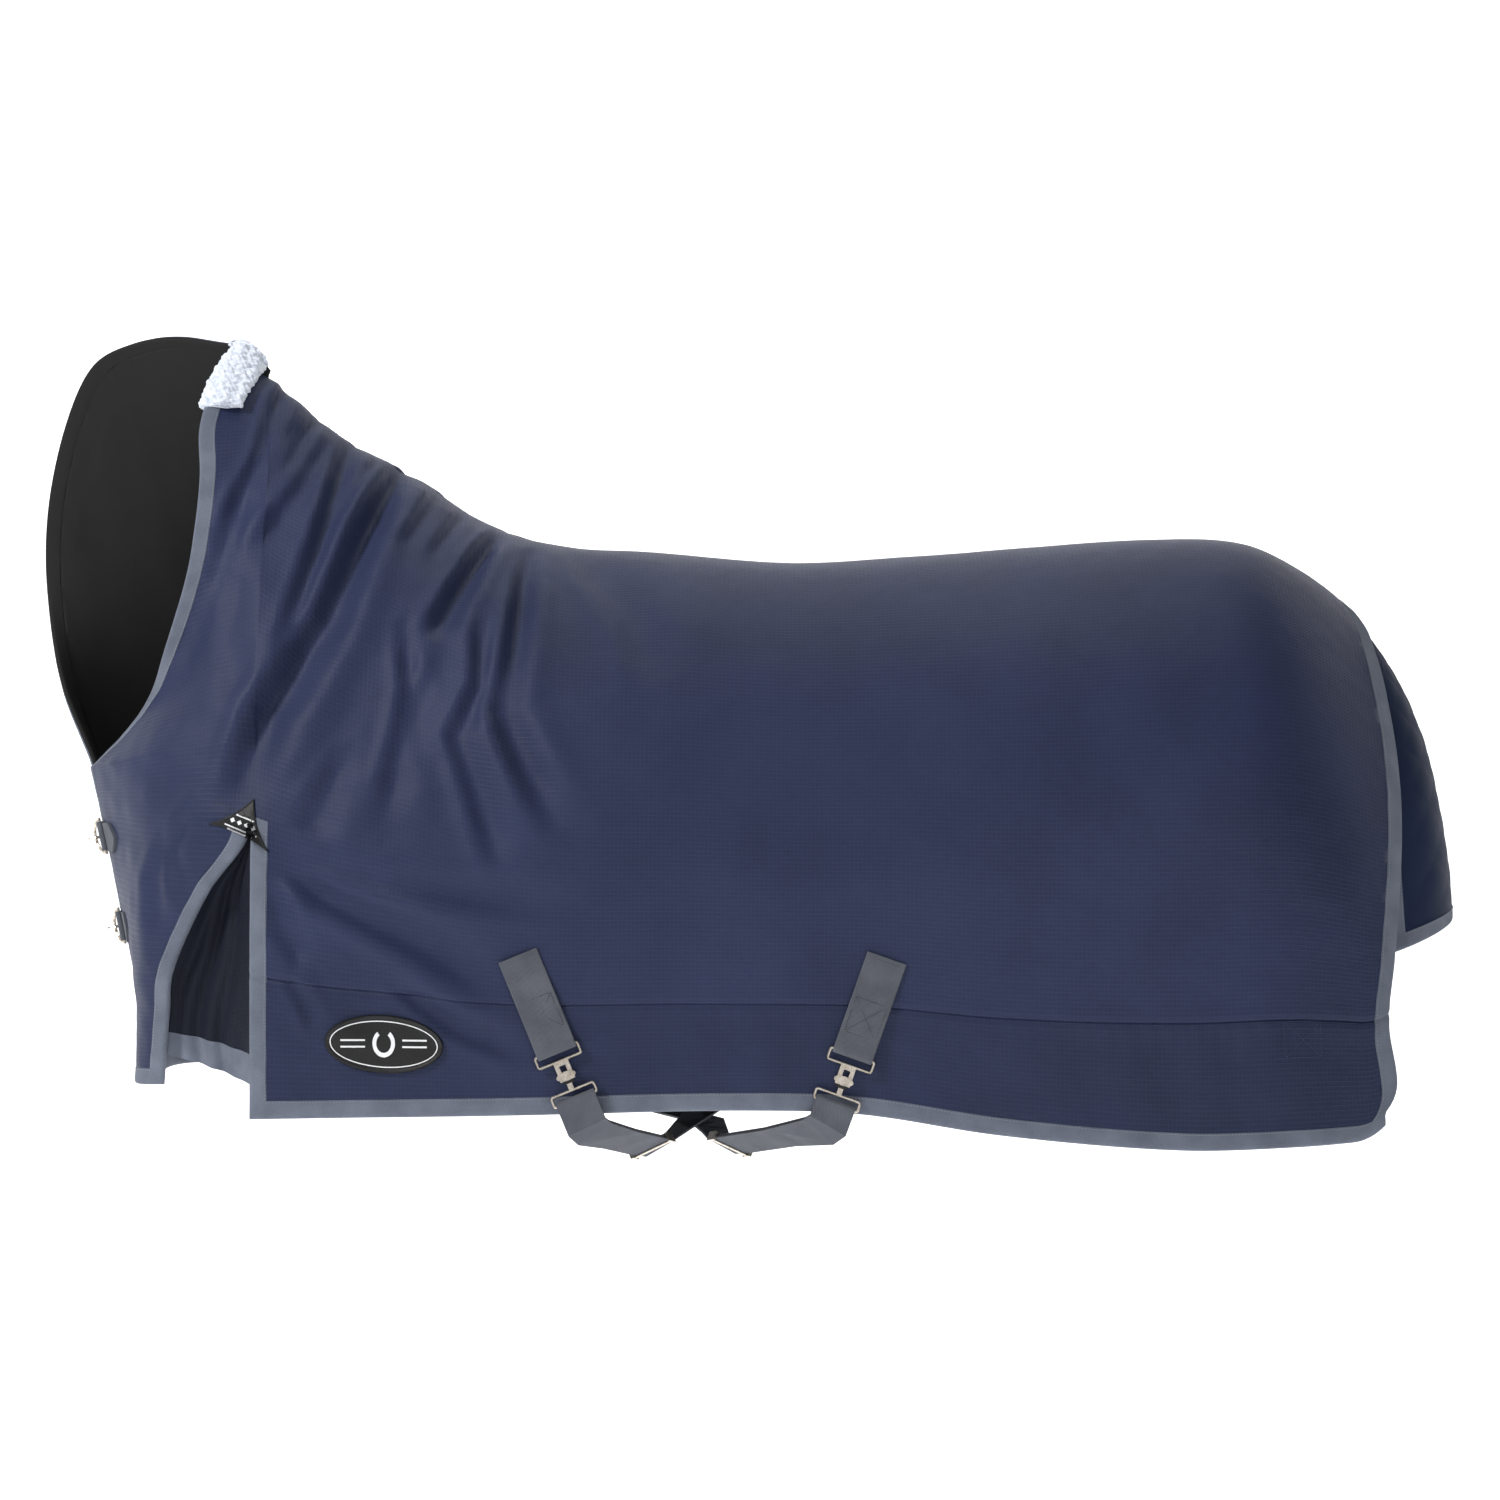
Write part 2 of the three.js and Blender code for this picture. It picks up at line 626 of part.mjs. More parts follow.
const isBand = ({ patch, j }) => patch === 'body' && j >= SEAM_INDEX;
const pick = (test) => master.quads.filter((_, k) => test(master.tags[k]));
const cutFrom = (test, top, bottom, drawIn) => thicken(master, pick(test), top, bottom, drawIn);

const FILL_TOP = -(OUTER_THICKNESS + GAP);
const LINING_TOP = FILL_TOP - FILL_THICKNESS - GAP;
const BINDING_BOTTOM = -(RUG_THICKNESS + BINDING_PROUD);

function makeBlanket() {
  const inner = (tag) => !isBinding(tag);
  add('outer_shell', cutFrom((tag) => inner(tag) && !isBand(tag), 0, -OUTER_THICKNESS), NAVY);
  for (const [side, name] of [[-1, 'left'], [1, 'right']]) {
    const band = (tag) => inner(tag) && isBand(tag) && tag.side === side;
    add(`${name}_hem_band`, cutFrom(band, 0, -OUTER_THICKNESS), NAVY_BAND);
  }
  for (const [side, name] of [[-1, 'left'], [1, 'right']]) {
    for (const [patch, piece] of [['body', 'body_insulation'], ['front', 'neck_insulation']]) {
      const own = (tag) => inner(tag) && tag.side === side && tag.patch === patch;
      add(`${name}_${piece}`, cutFrom(own, FILL_TOP, FILL_TOP - FILL_THICKNESS), WADDING);
    }
  }
  add('lining', cutFrom(inner, LINING_TOP, LINING_TOP - LINING_THICKNESS), BLACK_LINING);
}

function makeBindings() {
  for (const [side, name] of [[-1, 'left'], [1, 'right']]) {
    const own = (tag) => isBinding(tag) && tag.side === side;
    const fleeceEnd = side < 0 ? FLEECE_INDEX : 0;
    const neck = ({ patch, i, j }) => patch === 'front' && i === FRONT_LAST - 1 && j < CHEST_INDEX;
    const tests = {
      body_binding: (tag) => own(tag) && tag.patch === 'body',
      neck_binding: (tag) => own(tag) && neck(tag) && tag.j >= fleeceEnd,
      front_binding: (tag) => own(tag) && tag.patch === 'front' && !neck(tag),
    };
    for (const [piece, test] of Object.entries(tests)) {
      add(`${name}_${piece}`, cutFrom(test, BINDING_PROUD, BINDING_BOTTOM, SEWN_EDGE_GAP), GREY_BINDING);
    }
  }
}

// ---- Poll fleece ----------------------------------------------------------------------------------

// A soft strip folded over the neck edge at the poll, on the left from the crest down. It closes on
// both faces of the rug, so the rug's own thickness and a clearance are cut out of it.
function makePollFleece() {
  const sections = [];
  for (let j = FLEECE_INDEX; j >= 0; j -= 1) {
    const edge = master.points[master.vertex(-1, 'front', FRONT_LAST, j)];
    const inner = master.points[master.vertex(-1, 'front', FRONT_LAST - 1, j)];
    const back = inner.clone().sub(edge).normalize();
    const out = master.normals[master.vertex(-1, 'front', FRONT_LAST - 1, j)];
    const at = (along, off) => edge.clone().addScaledVector(back, along).addScaledVector(out, off);
    const under = -RUG_THICKNESS - FLEECE_THICKNESS;
    sections.push([
      at(FLEECE_WIDTH, under), at(2, under), at(-5, under / 2 + 4), at(2, FLEECE_THICKNESS),
      at(FLEECE_WIDTH, FLEECE_THICKNESS),
    ]);
  }
  const nearby = ({ patch, i, j }) => (patch === 'front' || i < 3) && j < FLEECE_INDEX + 2;
  const fabric = (tag) => nearby(tag) && !isBinding(tag);
  const slot = cutFrom(fabric, FLEECE_CLEARANCE, -(RUG_THICKNESS + FLEECE_CLEARANCE), -FLEECE_CLEARANCE);
  add('poll_fleece', cut(sweep(sections), slot), WHITE_FLEECE);
}

// ---- Shoulder gussets -----------------------------------------------------------------------------

const GUSSET_END_INDEX = SEAM_INDEX + 2; // row where the gusset's cloth ends
const GUSSET_SEAT_GAP = 0.7;

// Folded cloth behind the shoulder slit, sewn under the bindings of both its edges.
function makeGusset(side, name) {
  const rows = [];
  for (let j = APEX_INDEX + 1; j <= GUSSET_END_INDEX; j += 1) {
    const under = (patch, i) => {
      const v = master.vertex(side, patch, i, j);
      return master.points[v].clone().addScaledVector(master.normals[v], BINDING_BOTTOM - GUSSET_SEAT_GAP);
    };
    const [ahead, behind] = [under('front', 0), under('body', 0)];
    const fold = Math.min(GUSSET_DEPTH, ahead.distanceTo(behind) * 0.45);
    const dips = [1 / 3, 2 / 3].map((t) => ahead.clone().lerp(behind, t).add(V(0, -side * fold, 0)));
    rows.push([under('front', 1), ahead, ...dips, behind, under('body', 1)]);
  }
  const sheet = gridSheet(rows, side < 0);
  add(`${name}_shoulder_gusset`, thicken(sheet, sheet.quads, 0, -GUSSET_THICKNESS), NAVY_BAND);

  const last = rows[rows.length - 1].slice(1, 5);
  const before = rows[rows.length - 2].slice(1, 5);
  const lower = last.map((p, k) => p.clone().addScaledVector(p.clone().sub(before[k]).normalize(), BINDING_WIDTH));
  const hem = gridSheet([last, lower], side < 0);
  const tape = thicken(hem, hem.quads, 0, -(GUSSET_THICKNESS + BINDING_PROUD), SEWN_EDGE_GAP);
  add(`${name}_gusset_binding`, tape, GREY_BINDING);
}

// ---- Patches sewn on the outside ------------------------------------------------------------------

// Row of the grid at a height on the slit line.
function rowAt(z) {
  const top = toplineHeight(SLIT_X);
  const share = (top - z) / (top - hemHeight(SLIT_X));
  return SEAM_ROW * (share / dropShare(SEAM_ROW, 0)) ** (1 / 1.5);
}

// Where the body's outside lies at a distance along the back and a height, and its normal there.
function sideSpot(side, x, z) {
  for (let k = 0; k < master.quads.length; k += 1) {
    const tag = master.tags[k];
    if (tag.side !== side || tag.patch !== 'body') continue;
    const [a, b, c, d] = master.quads[k].map((v) => master.points[v]);
    for (const corners of [[a, b, c], [a, c, d]]) {
      const flat = corners.map((p) => V(p.x, p.z, 0));
      const share = THREE.Triangle.getBarycoord(V(x, z, 0), ...flat, V(0, 0, 0));
      if (!share || Math.min(share.x, share.y, share.z) < -1e-6) continue;
      const y = corners[0].y * share.x + corners[1].y * share.y + corners[2].y * share.z;
      const normal = new THREE.Triangle(...corners).getNormal(V(0, 0, 0));
      return { point: V(x, y, z), normal: normal.y * side < 0 ? normal.negate() : normal };
    }
  }
  throw new Error(`no fabric at ${x}, ${z}`);
}

// A point on the outside near the slit, u behind the slit line, and its normal.
function skin(side, u, row) {
  const point = skinPoint(side, u, row);
  const normal = outward((a, b) => skinPoint(side, a, b), u, row, 4, 0.1, V(SLIT_X + 200, 0, point.z));
  return { point, normal };
}

// Reinforcing triangle over the top of the slit.
function makeSlitPatch(side, name) {
  const apexHeight = slitPoint(APEX_ROW).z;
  const corner = (u, dz) => skin(side, u, rowAt(apexHeight + dz));
  const [a, b, c] = [[11, 20], [-47, -10], [30, -43]];
  const middle = (p, q) => [(p[0] + q[0]) / 2, (p[1] + q[1]) / 2];
  const centre = [(a[0] + b[0] + c[0]) / 3, (a[1] + b[1] + c[1]) / 3];
  const spots = [a, b, c, middle(a, b), middle(b, c), middle(c, a), centre].map(([u, dz]) => corner(u, dz));
  const quads = [[0, 3, 6, 5], [1, 4, 6, 3], [2, 5, 6, 4]];
  const sheet = { points: spots.map((s) => s.point), normals: spots.map((s) => s.normal) };
  const facing = side < 0 ? quads : quads.map(([p, q, r, t]) => [p, t, r, q]);
  const block = thicken(sheet, facing, 3.2, -0.6, 0);
  const under = (tag) => tag.side === side && tag.i < 2 && Math.abs(tag.j - APEX_INDEX) < 4;
  add(`${name}_slit_patch`, cut(block, cutFrom(under, BINDING_PROUD + GAP, -8, 0)), BLACK_RUBBER);
}

// Raised oval badge low on the left side.
function makeBadge() {
  const [x, z, halfLength, halfHeight] = [-446 * SX, -589 * SZ, 74, 36.5];
  const tilt = THREE.MathUtils.degToRad(-3);
  const steps = [-1, -0.5, 0, 0.5, 1];
  const points = [];
  const normals = [];
  for (const v of steps) {
    for (const u of steps) {
      const across = u * Math.sqrt(1 - (v * v) / 2) * halfLength;
      const up = v * Math.sqrt(1 - (u * u) / 2) * halfHeight;
      const px = x + across * Math.cos(tilt) - up * Math.sin(tilt);
      const pz = z + across * Math.sin(tilt) + up * Math.cos(tilt);
      const spot = sideSpot(-1, px, pz);
      points.push(spot.point);
      normals.push(spot.normal);
    }
  }
  const quads = [];
  for (let j = 0; j < 4; j += 1) {
    for (let i = 0; i < 4; i += 1) {
      const k = j * 5 + i;
      quads.push([k, k + 1, k + 6, k + 5]);
    }
  }
  const block = thicken({ points, normals }, quads, 3.4, -1.5, 0);
  const under = (tag) => tag.side < 0 && tag.patch === 'body' && tag.j >= SEAM_INDEX - 2 && tag.i < 6;
  add('side_badge', cut(block, cutFrom(under, GAP, -8, 0)), BLACK_RUBBER);
}

// ---- Tail flap ------------------------------------------------------------------------------------

const FLAP_COLUMNS = 8;
const FLAP_SEAM = [752, 772]; // rows of the strip sewn under the back, ahead of the hinge
const FLAP_HINGE = scaled([794, 0, -74]);
// Down the middle of the flap, then down its side: share, x, z, side x, side y, side z.
const flapShape = smoothCurve([
  [0, 794, -74, 786, 34, -94], [0.14, 822, -112, 790, 50, -126], [0.3, 850, -160, 794, 78, -172],
  [0.5, 877, -230, 798, 112, -250], [0.7, 893, -310, 800, 134, -340], [0.85, 903, -376, 803, 144, -418],
  [1, 907, -432, 808, 146, -486],
]);

function flapPoint(c, w) {
  const [x, z, sideX, sideY, sideZ] = flapShape(w);
  const angle = (c * Math.PI) / 2;
  const share = Math.cos(angle);
  return scaled([sideX + (x - sideX) * share ** 0.9, sideY * Math.sin(angle), sideZ + (z - sideZ) * share]);
}

function flapRow(w) {
  return Array.from({ length: FLAP_COLUMNS + 1 }, (_, i) => flapPoint((2 * i) / FLAP_COLUMNS - 1, w));
}

function makeTailFlap() {
  const seated = FLAP_SEAM.map((x) => {
    const a = (x * SX - SLIT_X) / (REAR_TOP_X - SLIT_X);
    return Array.from({ length: FLAP_COLUMNS + 1 }, (_, i) => {
      const c = (2 * i) / FLAP_COLUMNS - 1;
      const side = c < 0 ? -1 : 1;
      const p = bodyPoint(side, a, Math.abs(c) * 0.95);
      const n = outward((u, v) => bodyPoint(side, u, v), a, Math.max(Math.abs(c), 0.1), 0.005, 0.05, V(p.x, 0, -300));
      if (i === FLAP_COLUMNS / 2) n.y = 0;
      return p.addScaledVector(n.normalize(), -RUG_THICKNESS + 1);
    });
  });
  const hem = 1 - BINDING_WIDTH / 440;
  const sheet = gridSheet([...seated, ...[0, 0.14, 0.3, 0.5, 0.7, 0.85, hem, 1].map(flapRow)], true);
  const seamEnd = seated.length * FLAP_COLUMNS;
  const tapeStart = sheet.quads.length - FLAP_COLUMNS;
  const over = (tag) => tag.patch === 'body' && tag.j < 4 && tag.i > BODY_LAST - 4;
  const rugAbove = cutFrom(over, 4, BINDING_BOTTOM - GAP, 0);
  const strip = thicken(sheet, sheet.quads.slice(0, seamEnd), 0, -FLAP_THICKNESS, GAP);
  add('tail_flap_seam', cut(strip, rugAbove), NAVY_BAND);
  const cloth = sheet.quads.slice(seamEnd, tapeStart);
  add('tail_flap', thicken(sheet, cloth, 0, -FLAP_THICKNESS, GAP), NAVY_BAND);
  const tape = thicken(sheet, sheet.quads.slice(tapeStart), BINDING_PROUD, -(FLAP_THICKNESS + BINDING_PROUD), 0.6);
  add('tail_flap_binding', tape, GREY_BINDING);
  report('tail_flap_axis', FLAP_HINGE, V(0, -1, 0));
}

// ---- Webbing and wire pieces, in a frame with x along the webbing and z off the fabric --------------

const SEAT = 0.5; // webbing off the fabric

// Sewn tab from x = 0 to a wire at x = length, at the height tabWireHeight.
const tabWireHeight = (wireRadius) => SEAT + BINDING_PROUD + sleeveRadius(wireRadius);
function webbingTab(length, width, wireRadius) {
  const strip = plate(rectangle(0, length - wireRadius - 0.6, -width / 2, width / 2), SEAT, SEAT + WEBBING_THICKNESS);
  const fold = sleeve(width, wireRadius).translate(length, 0, tabWireHeight(wireRadius));
  return joined(strip, fold);
}

// Half span of a wire loop that clears webbing of this width folded round it.
const loopHalfSpan = (width, corner) => width / 2 + GAP + corner;

// Straight side on the local Y axis, bow toward +X.
function dRing(width, depth) {
  const half = loopHalfSpan(width, 3);
  const bow = [-72, -54, -36, -18, 0, 18, 36, 54, 72].map((turn) => {
    const angle = THREE.MathUtils.degToRad(turn);
    return V(depth * Math.cos(angle), half * Math.sin(angle), 0);
  });
  return wire([V(0, -half, 0), ...bow, V(0, half, 0)], RING_WIRE_RADIUS, true);
}

function placed(geometry, matrix) {
  return geometry.clone().applyMatrix4(matrix);
}

// ---- Tail cord loops and leg strap rings -----------------------------------------------------------

function makeTailCordLoop(side, name) {
  const [width, wall, reach, depth] = [26, 2, 9, 4.8];
  const row = 7;
  const edge = bodyPoint(side, 1, row);
  const out = outward((u, v) => bodyPoint(side, u, v), 0.995, row, 0.004, 0.05, V(edge.x - 300, 0, edge.z));
  const back = edge.clone().sub(bodyPoint(side, 0.98, row));
  const frame = frameAt(edge, back, out);
  const seat = BINDING_BOTTOM - GUSSET_SEAT_GAP;
  const low = seat - depth - 2 * wall;
  const band = plate(rectangle(-18, reach, low, seat), -width / 2, width / 2);
  const bore = plate(rectangle(-18 + wall, reach - wall, low + wall, seat - wall), -width, width);
  const loop = cut(band, bore).rotateX(Math.PI / 2);
  add(`${name}_tail_cord_loop`, placed(loop, frame), GREY_WEBBING);
}

// A sewn tab and D-ring on the lining, low at the rear, where a leg strap clips on.
function makeLegStrapRing(side, name) {
  const [x, z, length] = [714 * SX, -566 * SZ, 34];
  const { point, normal } = sideSpot(side, x, z);
  const inside = point.addScaledVector(normal, -RUG_THICKNESS);
  const frame = frameAt(inside, V(0, 0, -1), normal.clone().negate());
  add(`${name}_leg_strap_tab`, placed(webbingTab(length, CHEST_WEBBING_WIDTH, RING_WIRE_RADIUS), frame), GREY_WEBBING);
  const hang = V(length, 0, tabWireHeight(RING_WIRE_RADIUS));
  const ring = dRing(CHEST_WEBBING_WIDTH, D_RING_DEPTH).translate(hang.x, hang.y, hang.z);
  add(`${name}_leg_strap_ring`, placed(ring, frame), NICKEL);
  report(`${name}_leg_strap_axis`, hang.applyMatrix4(frame), V(0, -1, 0).transformDirection(frame));
}

// ---- Surcingles -----------------------------------------------------------------------------------

// Forked plate that hangs from the sewn tab. Its upper wire lies on the local Y axis.
function clipPlate() {
  const span = loopHalfSpan(WEBBING_WIDTH, 2.5);
  const loop = wire(roundedLoop(0, LOOP_HEIGHT, span, 2.5), WIRE_RADIUS, true);
  const half = CLIP_SLOT_WIDTH / 2 + CLIP_PRONG_WIDTH;
  const start = LOOP_HEIGHT - 1;
  const end = LOOP_HEIGHT + CLIP_NECK_LENGTH;
  const slot = CLIP_SLOT_WIDTH / 2;
  const fork = new THREE.Shape([
    [start, -half], [end, -half], [end, -slot], [start + 7, -slot],
    [start + 7, slot], [end, slot], [end, half], [start, half],
  ].map(([x, y]) => new THREE.Vector2(x, y)));
  return joined(loop, plate(fork, -CLIP_PLATE_THICKNESS / 2, CLIP_PLATE_THICKNESS / 2));
}

// T-hook: its head lies on the fork, its stem runs between the prongs to the strap's loop.
function tHook() {
  const span = loopHalfSpan(WEBBING_WIDTH, 2.5);
  const loop = wire(roundedLoop(CLIP_REACH, CLIP_REACH + HOOK_LOOP_HEIGHT, span, 2.5), WIRE_RADIUS, true);
  const face = CLIP_PLATE_THICKNESS / 2;
  const headX = LOOP_HEIGHT + CLIP_NECK_LENGTH - T_HEAD_WIDTH / 2 - GAP;
  const head = new THREE.Shape();
  head.absellipse(headX, 0, T_HEAD_WIDTH / 2, T_HEAD_LENGTH / 2, 0, 2 * Math.PI);
  const stemHalf = CLIP_SLOT_WIDTH / 2 - 0.8;
  const stem = plate(rectangle(headX - 3, CLIP_REACH + 0.5, -stemHalf, stemHalf), -face, face + GAP + 0.5);
  const cap = plate(head, face + GAP, face + GAP + CLIP_PLATE_THICKNESS, 7);
  return joined(loop, stem, cap);
}

// Rubber keeper round the stem, below the prongs.
function clipWasher() {
  const hole = CLIP_SLOT_WIDTH / 2 - 0.8 + GAP;
  const start = LOOP_HEIGHT + CLIP_NECK_LENGTH + 0.6;
  const face = CLIP_PLATE_THICKNESS / 2;
  const block = plate(rectangle(start, start + 3.4, -6.5, 6.5), -face - 2.3, face + 3);
  const bore = plate(rectangle(start - 1, start + 5, -hole, hole), -face - GAP, face + 0.5 + 2 * GAP);
  return cut(block, bore);
}

// Slide on the strap: two rails beside the webbing, outer bars on one face and a middle bar on the other.
function strapSlide(thickness) {
  const half = WEBBING_WIDTH / 2 + 0.5;
  const bar = 1.6;
  const level = thickness / 2 + GAP + bar;
  const side = (y) => plate(rectangle(-10, 10, y, y + 3.2), -level - bar, level + bar);
  const across = (x, z) => new THREE.CylinderGeometry(bar, bar, 2 * half + 3, 8).translate(x, 0, z);
  return joined(side(half), side(-half - 3.2), across(-8, -level), across(0, level), across(8, -level));
}

// One surcingle: a tab and clip on the left side, and a strap that crosses under the belly and is
// sewn to the right side. The strap turns at the fold, where its slide hangs.
function makeSurcingle(name, { top, lean, fold, crossing, farX }) {
  const angle = THREE.MathUtils.degToRad(lean);
  const along = V(Math.sin(angle), 0, -Math.cos(angle));
  const middle = sideSpot(-1, top.x + (along.x * SURCINGLE_TAB_LENGTH) / 2, top.z + (along.z * SURCINGLE_TAB_LENGTH) / 2);
  const start = middle.point.clone().addScaledVector(along, -SURCINGLE_TAB_LENGTH / 2);
  const frame = frameAt(start, along, middle.normal);
  const wireHeight = tabWireHeight(WIRE_RADIUS);
  add(`${name}_tab`, placed(webbingTab(SURCINGLE_TAB_LENGTH, WEBBING_WIDTH, WIRE_RADIUS), frame), GREY_WEBBING);
  const hang = frame.clone().multiply(new THREE.Matrix4().makeTranslation(SURCINGLE_TAB_LENGTH, 0, wireHeight));
  add(`${name}_plate`, placed(clipPlate(), hang), NICKEL);
  add(`${name}_hook`, placed(tHook(), hang), NICKEL);
  add(`${name}_washer`, placed(clipWasher(), hang), BLACK_RUBBER);

  // The end of the strap: two layers from the hook's lower wire, under the hem and in to the fold.
  const at = (x, y, z) => V(x, y, z).applyMatrix4(hang);
  const across = V(0, 1, 0).transformDirection(hang);
  const wireX = CLIP_REACH + HOOK_LOOP_HEIGHT;
  const hook = at(wireX, 0, 0);
  const turn = wireX + (hemHeight(hook.x) - STRAP_BELOW_HEM - hook.z) / along.z;
  const dive = fold.clone().sub(at(turn, 0, 0)).normalize();
  const face = dive.clone().cross(across).normalize();
  const layer = (height) => {
    const lie = Math.sign(height) * (WEBBING_THICKNESS / 2 - 0.05);
    const inward = (t) => at(turn, 0, 0).lerp(fold, t).addScaledVector(face, lie);
    const leave = height > 0 ? 1 : sleeveRadius(WIRE_RADIUS) - 1.2;
    const points = [at(wireX + leave, 0, height), at(turn - 6, 0, height), inward(0.07), inward(0.45), inward(height > 0 ? 1 : 0.99)];
    const out = V(0, 0, 1).transformDirection(hang);
    const width = height > 0 ? WEBBING_WIDTH : WEBBING_WIDTH - 1;
    return ribbon(points, [out, out, out.clone().add(face), face, face], width);
  };
  const sleeveFace = sleeveRadius(WIRE_RADIUS) - WEBBING_THICKNESS / 2;
  const ring = placed(sleeve(WEBBING_WIDTH, WIRE_RADIUS).translate(wireX, 0, 0), hang);
  add(`${name}_end_strap`, joined(ring, layer(sleeveFace), layer(-0.6 * sleeveFace)), GREY_WEBBING);
  const slideAt = fold.clone().addScaledVector(dive, -SLIDE_HALF_LENGTH - 1);
  const slideFrame = frameAt(slideAt, dive, face);
  add(`${name}_slide`, placed(strapSlide(2 * WEBBING_THICKNESS), slideFrame), NICKEL);

  // The long strap: from the fold across under the belly, round the right hem and up its outside.
  const height = BINDING_PROUD + SEAT + WEBBING_THICKNESS / 2;
  const sewn = (z) => {
    const spot = sideSpot(1, farX, z);
    return spot.point.addScaledVector(spot.normal, height);
  };
  const hem = hemHeight(farX);
  const low = sewn(hem + BINDING_WIDTH);
  const route = [
    fold.clone().addScaledVector(dive, STRAP_START), fold.clone().addScaledVector(dive, 14), crossing,
    crossing.clone().lerp(V(farX, low.y, hem - STRAP_BELOW_HEM), 0.5),
    V(lerp(crossing.x, farX, 0.86), low.y - 50, hem - STRAP_BELOW_HEM),
    V(farX - (farX - crossing.x) * 0.04, low.y - 12, hem - STRAP_BELOW_HEM),
    V(farX, low.y, hem - STRAP_BELOW_HEM / 2),
    low, sewn(hem + 60), sewn(hem + 104), sewn(hem + 150),
  ];
  const down = V(0, 0, -1);
  const outAt = (z) => sideSpot(1, farX, z).normal;
  const corner = V(0, 1, -1);
  const faces = [face, face, down, down, down, V(0, 0.4, -1), corner, outAt(low.z), outAt(hem + 60), outAt(hem + 104), outAt(hem + 150)];
  const rightSide = (tag) => tag.side > 0 && tag.patch === 'body' && tag.j >= SEAM_INDEX - 1;
  const bed = cutFrom(rightSide, BINDING_PROUD + GAP, BINDING_BOTTOM - GAP, 0);
  const fine = eased(route, faces, 3);
  add(`${name}_strap`, cut(ribbon(fine.points, fine.faces, WEBBING_WIDTH), bed), GREY_WEBBING);
  report(`${name}_plate_axis`, at(0, 0, 0), across);
  report(`${name}_hook_axis`, hook, across);
  report(`${name}_fold_axis`, fold, across);
  report(`${name}_slide_axis`, slideAt, dive);
}

// ---- Chest closures -------------------------------------------------------------------------------

// Crook and shank of a snap hook, in the XZ plane, its crook round the origin.
function snapHook() {
  const bend = [50, 90, 130, 170, 210, 250].map((turn) => {
    const angle = THREE.MathUtils.degToRad(turn);
    return V(CROOK_RADIUS * Math.cos(angle), CROOK_RADIUS * Math.sin(angle), 0);
  });
  const shank = [V(6, -6.6, 0), V(14, -2, 0), V(20, 0, 0), V(SWIVEL_REACH + 3.5, 0, 0)];
  const body = wire([...bend, ...shank], HOOK_WIRE_RADIUS, false, 8).rotateX(Math.PI / 2);
  const head = new THREE.CylinderGeometry(3.6, 3.6, 2, 10).rotateZ(Math.PI / 2);
  return joined(body, head.translate(SWIVEL_REACH + 4.3, 0, 0));
}

function hookGate() {
  return wire([V(GATE_PIVOT[0], GATE_PIVOT[1], 0), V(9.6, 6.4, 0)], 1.4).rotateX(Math.PI / 2);
}

// Swivel collar and the loop that the right tab holds, with its far wire at x = reach.
function swivelEye(reach) {
  const span = loopHalfSpan(CHEST_WEBBING_WIDTH, 2.5);
  const loop = wire(roundedLoop(SWIVEL_REACH, reach, span, 2.5), RING_WIRE_RADIUS, true);
  const collar = new THREE.CylinderGeometry(5, 5, 5.4, 12).rotateZ(Math.PI / 2).translate(SWIVEL_REACH, 0, 0);
  const bore = new THREE.CylinderGeometry(2.6, 2.6, 12, 10).rotateZ(Math.PI / 2).translate(SWIVEL_REACH, 0, 0);
  return cut(joined(loop, collar), bore);
}

